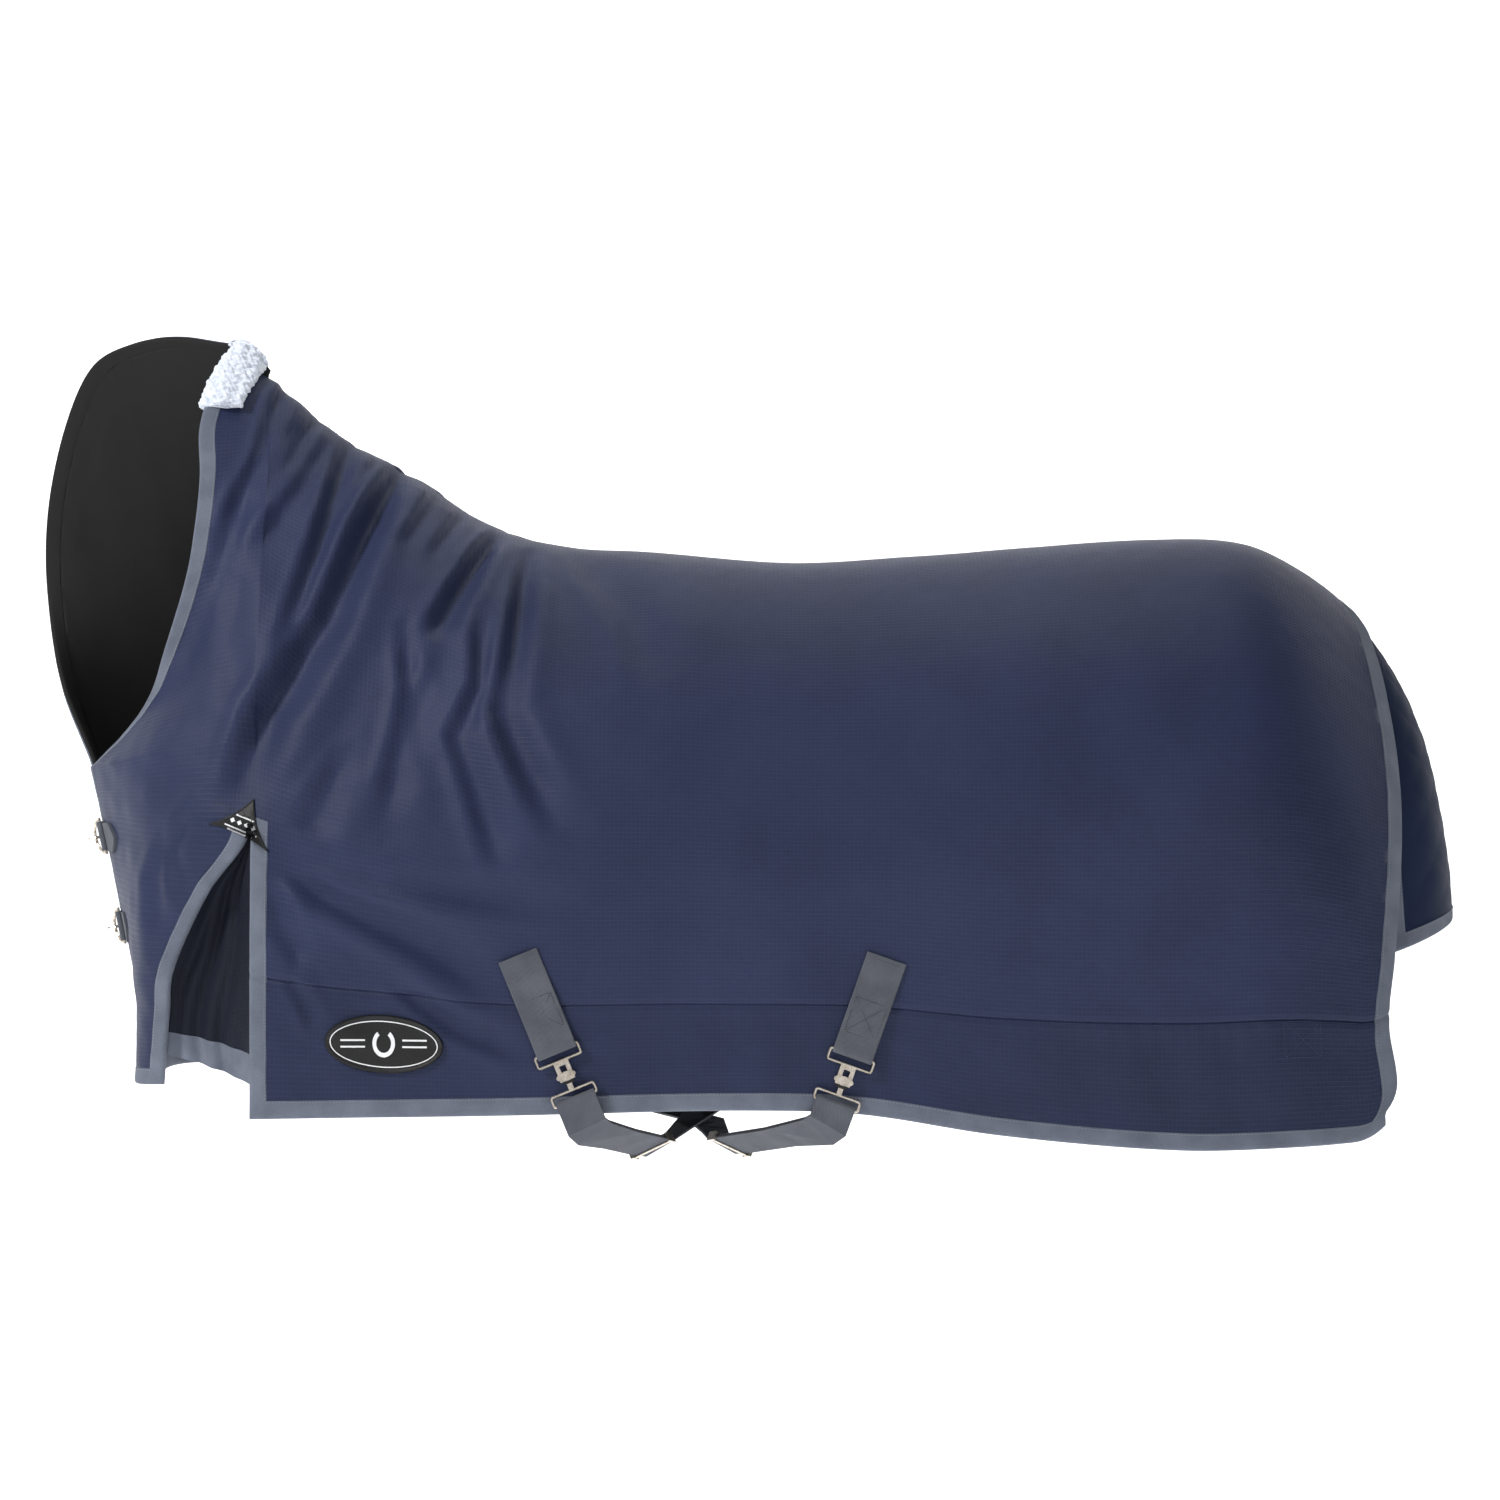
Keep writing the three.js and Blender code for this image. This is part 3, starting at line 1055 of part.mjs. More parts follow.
// One closure: a pointed tab with a D-ring on the left, a tab with a snap hook on the right.
function makeClosure(name, row) {
  const centre = frontEdgePoint(-1, row).setY(0);
  const upward = frontEdgePoint(-1, row - 0.2).sub(frontEdgePoint(-1, row + 0.2)).setY(0).normalize();
  const ahead = V(0, 1, 0).cross(upward).normalize();
  if (ahead.x > 0) ahead.negate();
  const bow = centre.clone().addScaledVector(ahead, CHEST_RING_HEIGHT);
  const spot = (side, s) => {
    const point = frontPoint(side, s, row);
    const normal = outward((u, v) => frontPoint(side, u, v), s, row, 0.01, 0.1, V(SLIT_X, 0, point.z));
    return { point, normal };
  };
  const reach = slitPoint(row).distanceTo(frontEdgePoint(-1, row));
  const seatOf = (side, fromEdge) => {
    const { point, normal } = spot(side, 1 - fromEdge / (reach * 1.1));
    point.addScaledVector(normal, BINDING_PROUD + SEAT + sleeveRadius(RING_WIRE_RADIUS));
    return point.addScaledVector(upward, -upward.dot(point.clone().sub(bow)));
  };
  const tab = (side, fromEdge, length, pointed) => {
    const steps = [0, 0.33, 0.66, 1];
    const spots = steps.map((t) => spot(side, 1 - (fromEdge + 3 + t * length) / (reach * 1.1)));
    const points = spots.map((p) => p.point.clone().addScaledVector(p.normal, -0.4));
    const full = CHEST_WEBBING_WIDTH;
    const widths = [full, full, full, pointed ? 5 : full];
    const strip = ribbon(points, spots.map((p) => p.normal), widths, 8.4);
    const under = (tag) => tag.side === side && tag.patch === 'front' && tag.j > 4;
    const bed = cutFrom(under, BINDING_PROUD + GAP, -12, 0);
    const centreOfFold = seatOf(side, fromEdge);
    const fold = placed(sleeve(CHEST_WEBBING_WIDTH, RING_WIRE_RADIUS), frameAcross(centreOfFold, ahead, upward));
    return joined(cut(strip, bed), fold);
  };
  add(`${name}_tab_left`, tab(-1, CHEST_RING_SEAT, 60, true), GREY_WEBBING);
  add(`${name}_tab_right`, tab(1, CHEST_EYE_SEAT, 45, false), GREY_WEBBING);
  const ringSeat = seatOf(-1, CHEST_RING_SEAT);
  const ringDepth = ringSeat.distanceTo(bow);
  const ringFrame = frameAcross(ringSeat, bow.clone().sub(ringSeat), upward);
  add(`${name}_ring`, placed(dRing(CHEST_WEBBING_WIDTH, ringDepth), ringFrame), NICKEL);
  const eyeSeat = seatOf(1, CHEST_EYE_SEAT);
  const way = eyeSeat.clone().sub(bow).normalize();
  const facing = way.clone().cross(upward).dot(ahead) < 0 ? -1 : 1;
  const frame = frameAcross(bow, way, upward.clone().multiplyScalar(facing));
  add(`${name}_eye`, placed(swivelEye(eyeSeat.distanceTo(bow)), frame), NICKEL);
  add(`${name}_hook`, placed(snapHook(), frame), NICKEL);
  add(`${name}_gate`, placed(hookGate(), frame), NICKEL);
  report(`${name}_ring_axis`, ringSeat, upward);
  report(`${name}_swivel_axis`, bow, way);
  report(`${name}_gate_axis`, V(GATE_PIVOT[0], 0, GATE_PIVOT[1]).applyMatrix4(frame), V(0, 1, 0).transformDirection(frame));
}

makeBlanket();
makeBindings();
makePollFleece();
for (const [side, name] of [[-1, 'left'], [1, 'right']]) {
  makeGusset(side, name);
  makeSlitPatch(side, name);
  makeTailCordLoop(side, name);
  makeLegStrapRing(side, name);
}
makeBadge();
makeTailFlap();
makeSurcingle('front_surcingle', {
  top: scaled([-282, 0, -480]),
  lean: 22.5,
  fold: scaled([-119, -164, -730]),
  crossing: scaled([-56, -50, -690]),
  farX: 150 * SX,
});
makeSurcingle('rear_surcingle', {
  top: scaled([166, 0, -483]),
  lean: -19.5,
  fold: scaled([-30, -100, -734]),
  crossing: scaled([-56, -50, -707]),
  farX: -258 * SX,
});
makeClosure('upper_chest', 9.45);
makeClosure('lower_chest', 10.55);

export default rug;
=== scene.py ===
"""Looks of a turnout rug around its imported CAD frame: shaped cloth, tape, webbing and nickel fittings.

The rug's surface is built from the same curves as the CAD part, on a finer grid, with the folds of
worn cloth laid over it. Curves are in millimetres from the crest line; meshes are in metres.
"""
import json
import math
import bmesh
import bpy
import numpy as np
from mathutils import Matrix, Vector
from mathutils.bvhtree import BVHTree

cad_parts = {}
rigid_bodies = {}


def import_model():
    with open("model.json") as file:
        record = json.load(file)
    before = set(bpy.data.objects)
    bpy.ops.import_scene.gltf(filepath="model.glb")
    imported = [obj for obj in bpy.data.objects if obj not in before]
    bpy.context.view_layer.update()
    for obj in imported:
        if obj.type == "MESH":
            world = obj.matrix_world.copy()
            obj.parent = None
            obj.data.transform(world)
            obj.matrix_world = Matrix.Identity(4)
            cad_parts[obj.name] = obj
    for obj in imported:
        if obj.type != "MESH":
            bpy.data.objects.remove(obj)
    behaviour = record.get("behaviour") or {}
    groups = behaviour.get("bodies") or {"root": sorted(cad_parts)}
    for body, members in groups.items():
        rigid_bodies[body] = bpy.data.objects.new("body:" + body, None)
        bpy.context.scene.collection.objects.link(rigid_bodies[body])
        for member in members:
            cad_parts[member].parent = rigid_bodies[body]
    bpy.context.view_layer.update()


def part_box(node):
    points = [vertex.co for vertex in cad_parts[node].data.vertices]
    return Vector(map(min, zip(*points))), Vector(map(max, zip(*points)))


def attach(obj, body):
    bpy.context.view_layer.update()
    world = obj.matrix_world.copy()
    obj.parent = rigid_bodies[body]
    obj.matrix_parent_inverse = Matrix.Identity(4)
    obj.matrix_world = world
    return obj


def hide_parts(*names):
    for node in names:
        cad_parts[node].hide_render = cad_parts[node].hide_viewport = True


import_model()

CAD_MESHES = [o for o in bpy.data.objects if o.type == "MESH"]
RUG = "rug_body"

# ---- The rug's surface, as in the CAD part -----------------------------------------------------------

SLIT_X, REAR_TOP_X, REAR_HEM_X = -613.0, 787.0, 806.0
DROP, CORNER = 690.0, 62.0
APEX_ROW, CHEST_ROW, SEAM_ROW, HEM_ROW = 9.0, 8.0, 11.0, 14.0
THICKNESS = 8.8
TAPE = 22.0
GUSSET_DEPTH = 34.0


def curve(knots):
    """A cubic curve through knots [t, value, ...] whose slopes are those of the neighbours."""
    k = np.array(knots, float)
    t, v = k[:, 0], k[:, 1:]
    n = np.arange(len(t))
    before, after = np.maximum(n - 1, 0), np.minimum(n + 1, len(t) - 1)
    slope = (v[after] - v[before]) / (t[after] - t[before])[:, None]

    def at(x):
        x = np.asarray(x, float)
        i = np.clip(np.searchsorted(t, x, side="left") - 1, 0, len(t) - 2)
        h = t[i + 1] - t[i]
        u = ((x - t[i]) / h)[..., None]
        h = h[..., None]
        return (
            (2 * u**3 - 3 * u**2 + 1) * v[i] + (u**3 - 2 * u**2 + u) * slope[i] * h
            + (3 * u**2 - 2 * u**3) * v[i + 1] + (u**3 - u**2) * slope[i + 1] * h
        )

    return at


topline = curve([
    [-663, 298], [-598, 230], [-526, 172], [-435, 123], [-351, 68], [-260, 36], [-104, 24],
    [52, 12], [208, 20], [364, 32], [520, 42], [637, 37], [715, 2], [787, -52], [840, -104],
])
hemline = curve([
    [-613, -683], [-499, -680], [-280, -675], [-61, -669], [122, -672], [304, -698],
    [523, -717], [669, -716], [806, -712],
])
rearline = curve([
    [0, 787], [0.05, 800], [0.25, 818], [0.42, 820], [0.68, 802], [0.8, 792], [0.9, 802], [1, 806],
])
side_shape = curve([
    [-663, 280, 800, 0.84], [-613, 295, 760, 0.84], [-450, 318, 600, 0.68], [-300, 332, 470, 0.55],
    [-100, 338, 420, 0.5], [150, 340, 420, 0.5], [400, 346, 400, 0.5], [600, 328, 400, 0.5],
    [700, 295, 450, 0.55], [840, 222, 640, 0.73],
])
left_neck_edge = curve([
    [0, -663, 0, 298], [1, -688, 48, 248], [2, -703, 88, 185], [3, -699, 118, 120],
    [4, -702, 140, 55], [5, -712, 150, -15], [6, -740, 142, -105], [7, -775, 105, -182],
    [8, -858, 3, -253],
])
right_neck_edge = curve([
    [0, -663, 0, 298], [1, -742, 42, 312], [2, -812, 78, 307], [3, -870, 108, 280],
    [4, -910, 130, 205], [5, -937, 145, 95], [6, -940, 148, -20], [7, -918, 112, -142],
    [8, -858, 3, -253],
])
centre_front = curve([
    [8, -858, 3, -253], [9, -846, 3, -306], [10, -826, 3, -395], [11, -803, 3, -505],
    [12, -794, 3, -560], [13, -790, 3, -610], [14, -792, 3, -656],
])
slit_edge = curve([
    [9, -613, 272, -310], [9.35, -620, 268, -343], [10, -668, 250, -405], [11, -716, 215, -500],
    [12, -725, 196, -555], [13, -731, 182, -604], [14, -736, 170, -650],
])
flap_shape = curve([
    [0, 794, -74, 786, 34, -94], [0.14, 822, -112, 790, 50, -126], [0.3, 850, -160, 794, 78, -172],
    [0.5, 877, -230, 798, 112, -250], [0.7, 893, -310, 800, 134, -340], [0.85, 903, -384, 803, 144, -420],
    [1, 907, -448, 808, 146, -488],
])


def top_height(x):
    return topline(x)[..., 0]


LINING_HEIGHT = float(top_height(0)) - THICKNESS


def hem_height(x):
    along = np.clip(x - (REAR_HEM_X - CORNER), 0, CORNER)
    return hemline(x)[..., 0] + CORNER - np.sqrt(CORNER**2 - along**2)


def half_width(x, depth):
    shape = side_shape(x)
    t = np.clip(depth / shape[..., 1], 0, 1)
    side = shape[..., 0] * np.maximum(0, 2 * t - t * t) ** shape[..., 2]
    depth = np.maximum(depth, 0)
    return np.sqrt(side**2 + 50 * depth * np.exp(-depth / 80))


def drop_share(row, a):
    seam = 0.81 - 0.025 * a + 0.012 * np.sin(math.pi * a)
    over = seam * (np.maximum(row, 0) / SEAM_ROW) ** 1.5
    under = seam + (1 - seam) * (row - SEAM_ROW) / (HEM_ROW - SEAM_ROW)
    return np.where(row <= SEAM_ROW, over, under)


def rear_x(share):
    below = np.maximum(0, CORNER - (1 - share) * DROP)
    cut = CORNER - np.sqrt(CORNER**2 - np.minimum(below, CORNER * 0.71) ** 2)
    return rearline(share)[..., 0] - cut


def lerp(a, b, t):
    return a + (b - a) * t


def body_point(side, a, row):
    a, row = np.broadcast_arrays(np.asarray(a, float), np.asarray(row, float))
    share = drop_share(row, a)
    x = lerp(SLIT_X, rear_x(share), a)
    top, hem = lerp(SLIT_X, REAR_TOP_X, a), lerp(SLIT_X, rear_x(np.ones_like(a)), a)
    z = lerp(top_height(top), hem_height(hem), share)
    y = np.where(row == 0, 0, half_width(x, top_height(x) - z))
    return np.stack([x, side * y, z], -1)


def slit_point(row):
    row = np.asarray(row, float)
    above = body_point(1, np.zeros_like(row), np.minimum(row, APEX_ROW))
    below = above + slit_edge(np.maximum(row, APEX_ROW)) - slit_edge(APEX_ROW)
    return np.where(row[..., None] <= APEX_ROW, above, below)


def front_edge(side, row):
    row = np.asarray(row, float)
    neck = (left_neck_edge if side < 0 else right_neck_edge)(np.minimum(row, CHEST_ROW))
    return np.where(row[..., None] > CHEST_ROW, centre_front(np.maximum(row, CHEST_ROW)), neck)


def front_point(side, s, row):
    s, row = np.broadcast_arrays(np.asarray(s, float), np.asarray(row, float))
    start, end = slit_point(row), front_edge(side, row)
    reach = np.linalg.norm(end - start, axis=-1)
    t = np.clip((row - 5.5) / 2.5, 0, 1)
    chest = t * t * (3 - 2 * t)
    leave = np.stack([-reach, -0.16 * reach, 0 * reach], -1)
    arrive = np.stack([lerp(-0.9, -0.3, chest) * reach, lerp(0.1, -1.1, chest) * reach, 0 * reach], -1)
    climb = end[..., 2] - start[..., 2]
    high = row < CHEST_ROW
    arrive[..., 2] = np.where(high, climb * (1 - chest), 0)
    leave[..., 2] = np.where(high, climb * 0.6, 0)
    u = s[..., None]
    p = (2 * u**3 - 3 * u**2 + 1) * start + (u**3 - 2 * u**2 + u) * leave
    p = p + (3 * u**2 - 2 * u**3) * end + (u**3 - u**2) * arrive
    p[..., 1] = np.where(row == 0, 0, p[..., 1]) * side
    return p


# ---- Folds in the cloth --------------------------------------------------------------------------------

# Valleys on the side of the rug: depth, half width, then the run of the valley as x, z.
FOLDS = []
FOLD_STRENGTH = 1.3


def smooth_noise(p, scale, seed):
    """A soft random field from -1 to 1, made of a few waves in fixed directions."""
    rng = np.random.default_rng(seed)
    total = np.zeros(p.shape[:-1])
    for _ in range(9):
        way = rng.normal(size=3)
        way *= rng.uniform(0.6, 1.5) / np.linalg.norm(way)
        total += np.sin(p @ way * (2 * math.pi / scale) + rng.uniform(0, 2 * math.pi))
    return total / 4.5


def distance_to_run(x, z, run):
    """Distance from points to a polyline in x, z, the share along it and the side it lies on."""
    best = np.full(x.shape, 1e9)
    share, hand = np.zeros(x.shape), np.zeros(x.shape)
    lengths = [math.dist(p, q) for p, q in zip(run, run[1:])]
    total, gone = sum(lengths), 0.0
    for (px, pz), (qx, qz), length in zip(run, run[1:], lengths):
        dx, dz = (qx - px) / length, (qz - pz) / length
        t = np.clip((x - px) * dx + (z - pz) * dz, 0, length)
        ex, ez = x - px - t * dx, z - pz - t * dz
        d = np.hypot(ex, ez)
        closer = d < best
        best = np.where(closer, d, best)
        share = np.where(closer, (gone + t) / total, share)
        hand = np.where(closer, np.sign(ex * dz - ez * dx), hand)
        gone += length
    return best, share, hand


def fold(depth, width, run):
    FOLDS.append((depth, width, run))


fold(6, 13, [(-598, 262), (-610, 225), (-622, 145), (-660, 45)])
fold(8, 15, [(-508, 185), (-521, 159), (-542, 34), (-570, -82), (-600, -150)])
fold(17, 21, [(-440, 148), (-456, 128), (-491, 47), (-530, -69), (-572, -144), (-596, -180), (-616, -232),
              (-634, -290)])
fold(4, 16, [(-580, 200), (-594, 146), (-622, 60)])
fold(5, 15, [(-543, 172), (-572, 99), (-628, 8)])
fold(10, 14, [(-322, 50), (-334, 33), (-368, -31), (-397, -95)])
fold(9, 16, [(-280, 15), (-286, -17), (-294, -101), (-307, -182), (-274, -255), (-231, -328)])
fold(7, 15, [(-337, -60), (-332, -151), (-360, -213), (-335, -280), (-300, -383)])
fold(7, 15, [(-430, -80), (-419, -157), (-429, -231), (-447, -319)])
fold(9, 20, [(-596, -362), (-525, -408), (-414, -462), (-307, -520)])
fold(5, 16, [(-575, -350), (-451, -395), (-352, -407), (-235, -419)])
fold(6, 14, [(-590, -385), (-574, -451), (-542, -497)])
fold(4, 9, [(-565, -512), (-550, -532), (-530, -572)])
fold(5, 12, [(-432, -520), (-358, -571), (-279, -600)])
fold(4, 22, [(-635, 8), (-650, -94), (-636, -169)])
fold(4, 16, [(-648, 112), (-676, -42)])
fold(4, 14, [(-720, -330), (-745, -390), (-735, -470)])
fold(4, 12, [(-700, -300), (-716, -360), (-700, -430)])
fold(4, 26, [(-220, 18), (-150, -60), (-110, -150)])
fold(5, 18, [(-498, -238), (-545, -334)])
fold(5, 20, [(-385, -110), (-402, -190), (-390, -280)])
fold(3, 10, [(-480, 146), (-498, 110), (-520, 60)])
fold(3, 9, [(-405, 108), (-418, 70), (-440, 20)])
fold(3, 9, [(-370, 80), (-385, 45), (-402, 10)])
fold(3, 10, [(-560, 208), (-572, 172), (-590, 120)])


def displacement(p, side):
    """How far the cloth stands off its base surface, in millimetres, at points p on one side."""
    x, z = p[..., 0], p[..., 2]
    if side > 0:
        # The far side wears differently: the same folds, shifted along the neck.
        x = x - 9 * np.sin(z / 70.0) - 6
    crest = np.clip((top_height(p[..., 0]) - p[..., 2]) / 18.0, 0, 1)
    total = np.zeros(x.shape)
    for depth, width, run in FOLDS:
        d, share, hand = distance_to_run(x, z, run)
        ends = np.clip(np.sin(math.pi * np.clip(share * 0.92 + 0.05, 0, 1)) * 1.6, 0, 1)
        w = width * lerp(0.75, 1.25, share)
        # A valley with a steeper flank in front and a soft ridge on both sides.
        steep = np.where(hand > 0, 0.72, 1.25)
        u = d / (w * steep)
        valley = -np.exp(-(u**2)) + 0.45 * np.exp(-((u - 1.75) ** 2) / 0.8)
        total += FOLD_STRENGTH * depth * ends * valley
    neck = np.clip((-330 - x) / 200.0, 0, 1)
    total += (0.8 + 1.6 * neck) * smooth_noise(p, 170, 4)
    total += (0.25 + 0.7 * neck) * smooth_noise(p, 62, 9)
    total += 0.16 * smooth_noise(p, 27, 12)
    return total * lerp(0.35, 1.0, crest)


# ---- The grid of the whole rug ---------------------------------------------------------------------------

TAPE_STEPS = [0.0, 0.9, 2.6, 6.0, 14.0, 20.0, TAPE]
SEAM_STEPS = [-9.0, -5.0, -2.0, 0.0, 2.0, 5.0, 9.0]
N_TAPE = len(TAPE_STEPS) - 1


class Grid:
    """The rug's surface as one net of quads, with the tape's strips as its outermost columns and rows."""

    def __init__(self, step):
        self.rows = self.row_table(step)
        self.hem0 = len(self.rows) - 1 - N_TAPE
        parts, self.quads, self.tags = [], [], []
        count = 0
        pieces = {}
        for side in (-1, 1):
            body_n = int(round(1400 / step))
            front_n = int(round(290 / step))
            for patch, n in (("body", body_n), ("front", front_n)):
                p, uv = self.patch(side, patch, n)
                ids = count + np.arange(p.shape[0] * p.shape[1]).reshape(p.shape[:2])
                count += ids.size
                parts.append((p, uv))
                pieces[side, patch] = ids
        remap = np.arange(count)
        apex = self.find(APEX_ROW)
        for side in (-1, 1):
            remap[pieces[side, "front"][0, : apex + 1]] = pieces[side, "body"][0, : apex + 1]
        for patch in ("body", "front"):
            remap[pieces[1, patch][:, 0]] = pieces[-1, patch][:, 0]
        remap = remap[remap]
        self.ids = {key: remap[ids] for key, ids in pieces.items()}
        self.points = np.concatenate([p.reshape(-1, 3) for p, _ in parts])
        self.uv = np.concatenate([uv.reshape(-1, 2) for _, uv in parts])
        for (side, patch), ids in self.ids.items():
            a, b, c, d = ids[:-1, :-1], ids[1:, :-1], ids[1:, 1:], ids[:-1, 1:]
            quad = np.stack([a, b, c, d], -1)
            if (patch == "body") == (side < 0):
                quad = quad[..., ::-1]
            i, j = np.meshgrid(np.arange(quad.shape[0]), np.arange(quad.shape[1]), indexing="ij")
            same = [np.full(i.shape, value) for value in (side, patch == "body", quad.shape[0])]
            tag = np.stack([same[0], same[1], i, j, same[2]], -1)
            self.quads.append(quad.reshape(-1, 4))
            self.tags.append(tag.reshape(-1, 5))
        self.quads = np.concatenate(self.quads)
        self.tags = np.concatenate(self.tags)
        base = normals_of(self.points, self.quads)
        lift = np.zeros(len(self.points))
        for side in (-1, 1):
            own = np.unique(np.concatenate([self.ids[side, "body"].ravel(), self.ids[side, "front"].ravel()]))
            lift[own] = displacement(self.points[own], side)
        crest = np.unique(np.concatenate([self.ids[-1, "body"][:, 0], self.ids[-1, "front"][:, 0]]))
        lift[crest] = 0.5 * (displacement(self.points[crest], -1) + displacement(self.points[crest], 1))
        self.edge = self.edge_distance()
        hold = np.clip((self.edge - 4) / 60.0, 0, 1)
        lift *= lerp(0.3, 1.0, hold)
        lift += self.seams()
        self.points = self.points + base * lift[:, None]
        self.normals = base

    def row_table(self, step):
        """Rows from the crest to the seam as row numbers, then as shares of the way to the hem's tape."""
        fine = np.linspace(0, SEAM_ROW, 1101)
        run = body_point(-1, np.full(1101, 0.5), fine)
        arc = np.concatenate([[0], np.cumsum(np.linalg.norm(np.diff(run, axis=0), axis=1))])
        at = lambda row: np.interp(row, fine, arc)
        keys = [0, CHEST_ROW, APEX_ROW, SEAM_ROW]
        rows = [0.0]
        for a, b in zip(keys, keys[1:]):
            n = max(1, int(round((at(b) - at(a)) / step)))
            rows += [float(np.interp(at(a) + (at(b) - at(a)) * k / n, arc, fine)) for k in range(1, n + 1)]
        per_mm = 1 / (at(SEAM_ROW) - at(SEAM_ROW - 0.2)) * 0.2
        rows = [r for r in rows if r < SEAM_ROW - 12 * per_mm] + [SEAM_ROW + d * per_mm for d in SEAM_STEPS if d <= 0]
        self.girth = lambda row: np.interp(row, fine, arc)
        band = [("band", d / 110.0) for d in SEAM_STEPS if d > 0]
        n = int(round(100 / step))
        band += [("band", lerp(9 / 110.0, 1, k / n)) for k in range(1, n)]
        return [("row", r) for r in rows] + band + [("hem", w) for w in TAPE_STEPS[::-1]]

    def find(self, row):
        return next(k for k, r in enumerate(self.rows) if r[0] == "row" and abs(r[1] - row) < 1e-9)

    def row_values(self, step_down):
        """Row numbers of every grid row, given the length of a row step at the hem."""
        inset = HEM_ROW - TAPE / step_down
        out, v = [], []
        for kind, value in self.rows:
            if kind == "row":
                row = np.full_like(inset, value)
            elif kind == "band":
                row = lerp(SEAM_ROW, inset, value)
            else:
                row = HEM_ROW - value / step_down
            out.append(row)
        return np.stack(out, -1)

    def patch(self, side, patch, n):
        inner = np.linspace(0, 1, n + 1)
        if patch == "body":
            middle = np.linspace(0, 1, n + 1 + 2 * N_TAPE)
            last = body_point(side, middle, HEM_ROW - 1) - body_point(side, middle, HEM_ROW)
            step_down = np.linalg.norm(last, axis=-1)
            rows = self.row_values(step_down)
            width = rear_x(drop_share(rows, 0.5)) - SLIT_X
        else:
            count = n + 1 + 2 * N_TAPE
            step_down = np.full(count, np.linalg.norm(slit_point(HEM_ROW - 1) - slit_point(HEM_ROW)))
            rows = self.row_values(step_down)
            width = np.linalg.norm(slit_point(rows) - front_edge(side, rows), axis=-1)
        start = np.array(TAPE_STEPS[:-1])[:, None] / width[:N_TAPE]
        inset = TAPE / width[N_TAPE : N_TAPE + n + 1]
        middle = inset + inner[:, None] * (1 - 2 * inset)
        end = 1 - np.array(TAPE_STEPS[:-1][::-1])[:, None] / width[-N_TAPE:]
        across = np.concatenate([start, middle, end])
        point = body_point if patch == "body" else front_point
        p = point(side, across, rows)
        u = across * width / 1000 * (1 if patch == "body" else -1)
        below = self.girth(SEAM_ROW) + (rows - SEAM_ROW) * 45
        girth = np.where(rows <= SEAM_ROW, self.girth(np.minimum(rows, SEAM_ROW)), below)
        return p, np.stack([u, -girth / 1000], -1)

    def edge_distance(self):
        """Distance from the free edge, in millimetres, for every vertex. Large away from the edges."""
        far = np.full(len(self.points), 1e3)
        apex = self.find(APEX_ROW)
        for (side, patch), ids in self.ids.items():
            d = np.full(ids.shape, 1e3)
            p = self.points[ids]
            rear = np.linalg.norm(p - p[-1:, :], axis=-1)
            d = np.minimum(d, rear)
            hem = np.linalg.norm(p - p[:, -1:], axis=-1)
            d = np.minimum(d, hem)
            slit = np.linalg.norm(p - p[:1, :], axis=-1)
            below = np.zeros(ids.shape, bool)
            below[:, apex:] = True
            d = np.where(below, np.minimum(d, slit), d)
            np.minimum.at(far, ids.ravel(), d.ravel())
        return far

    def seams(self):
        """Puckers along the tape and below the hem seam, and the seam's own groove."""
        p = self.points
        run = p[:, 0] + 0.35 * p[:, 2]
        near = np.exp(-np.clip(self.edge - TAPE, 0, None) / 30.0) * np.clip(self.edge / 20.0, 0, 1)
        pucker = np.sin(run / 4.1 + 2.4 * np.sin(run / 37.0)) * 0.5
        pucker = pucker + np.sin(p[:, 2] / 5.3 + 2 * np.sin(p[:, 2] / 41.0)) * 0.5
        total = 0.5 * near * pucker
        total += 1.6 * np.exp(-self.edge / 45.0) * np.sin(p[:, 0] / 46.0 + 1.9 * np.sin(p[:, 0] / 118.0))
        for side in (-1, 1):
            ids = self.ids[side, "body"]
            rows = [r[1] if r[0] == "row" else None for r in self.rows]
            seam = self.find(SEAM_ROW)
            down = np.linalg.norm(p[ids] - p[ids[:, seam : seam + 1]], axis=-1)
            sign = np.where(np.arange(ids.shape[1]) < seam, -1.0, 1.0)
            x = p[ids][..., 0]
            groove = -1.1 * np.exp(-((down / 2.6) ** 2)) + 0.5 * np.exp(-(((down - 7) / 5.0) ** 2))
            gather = np.exp(-down / np.where(sign > 0, 26.0, 9.0)) * (down > 1) * np.clip(down / 8.0, 0, 1)
            wave = np.sin(x / 3.6 + 3.1 * np.sin(x / 29.0) + 1.7 * np.sin(x / 71.0))
            amount = 0.35 + 0.65 * np.clip((x - 100) / 500.0, 0, 1) * (sign > 0)
            total[ids] += groove + amount * gather * wave
            broad = (sign > 0) * np.clip(down / 30.0, 0, 1) * np.exp(-((down - 60) / 60.0) ** 2)
            total[ids] += 1.5 * broad * np.sin(x / 21.0 + 2.2 * np.sin(x / 83.0))
        return total


def normals_of(points, quads):
    n = np.cross(points[quads[:, 2]] - points[quads[:, 0]], points[quads[:, 3]] - points[quads[:, 1]])
    out = np.zeros_like(points)
    for k in range(4):
        np.add.at(out, quads[:, k], n)
    return out / np.maximum(np.linalg.norm(out, axis=1, keepdims=True), 1e-12)


# ---- Making meshes -------------------------------------------------------------------------------------------


def to_metres(points):
    points = np.array(points, float)
    points[..., 2] -= LINING_HEIGHT
    return points / 1000


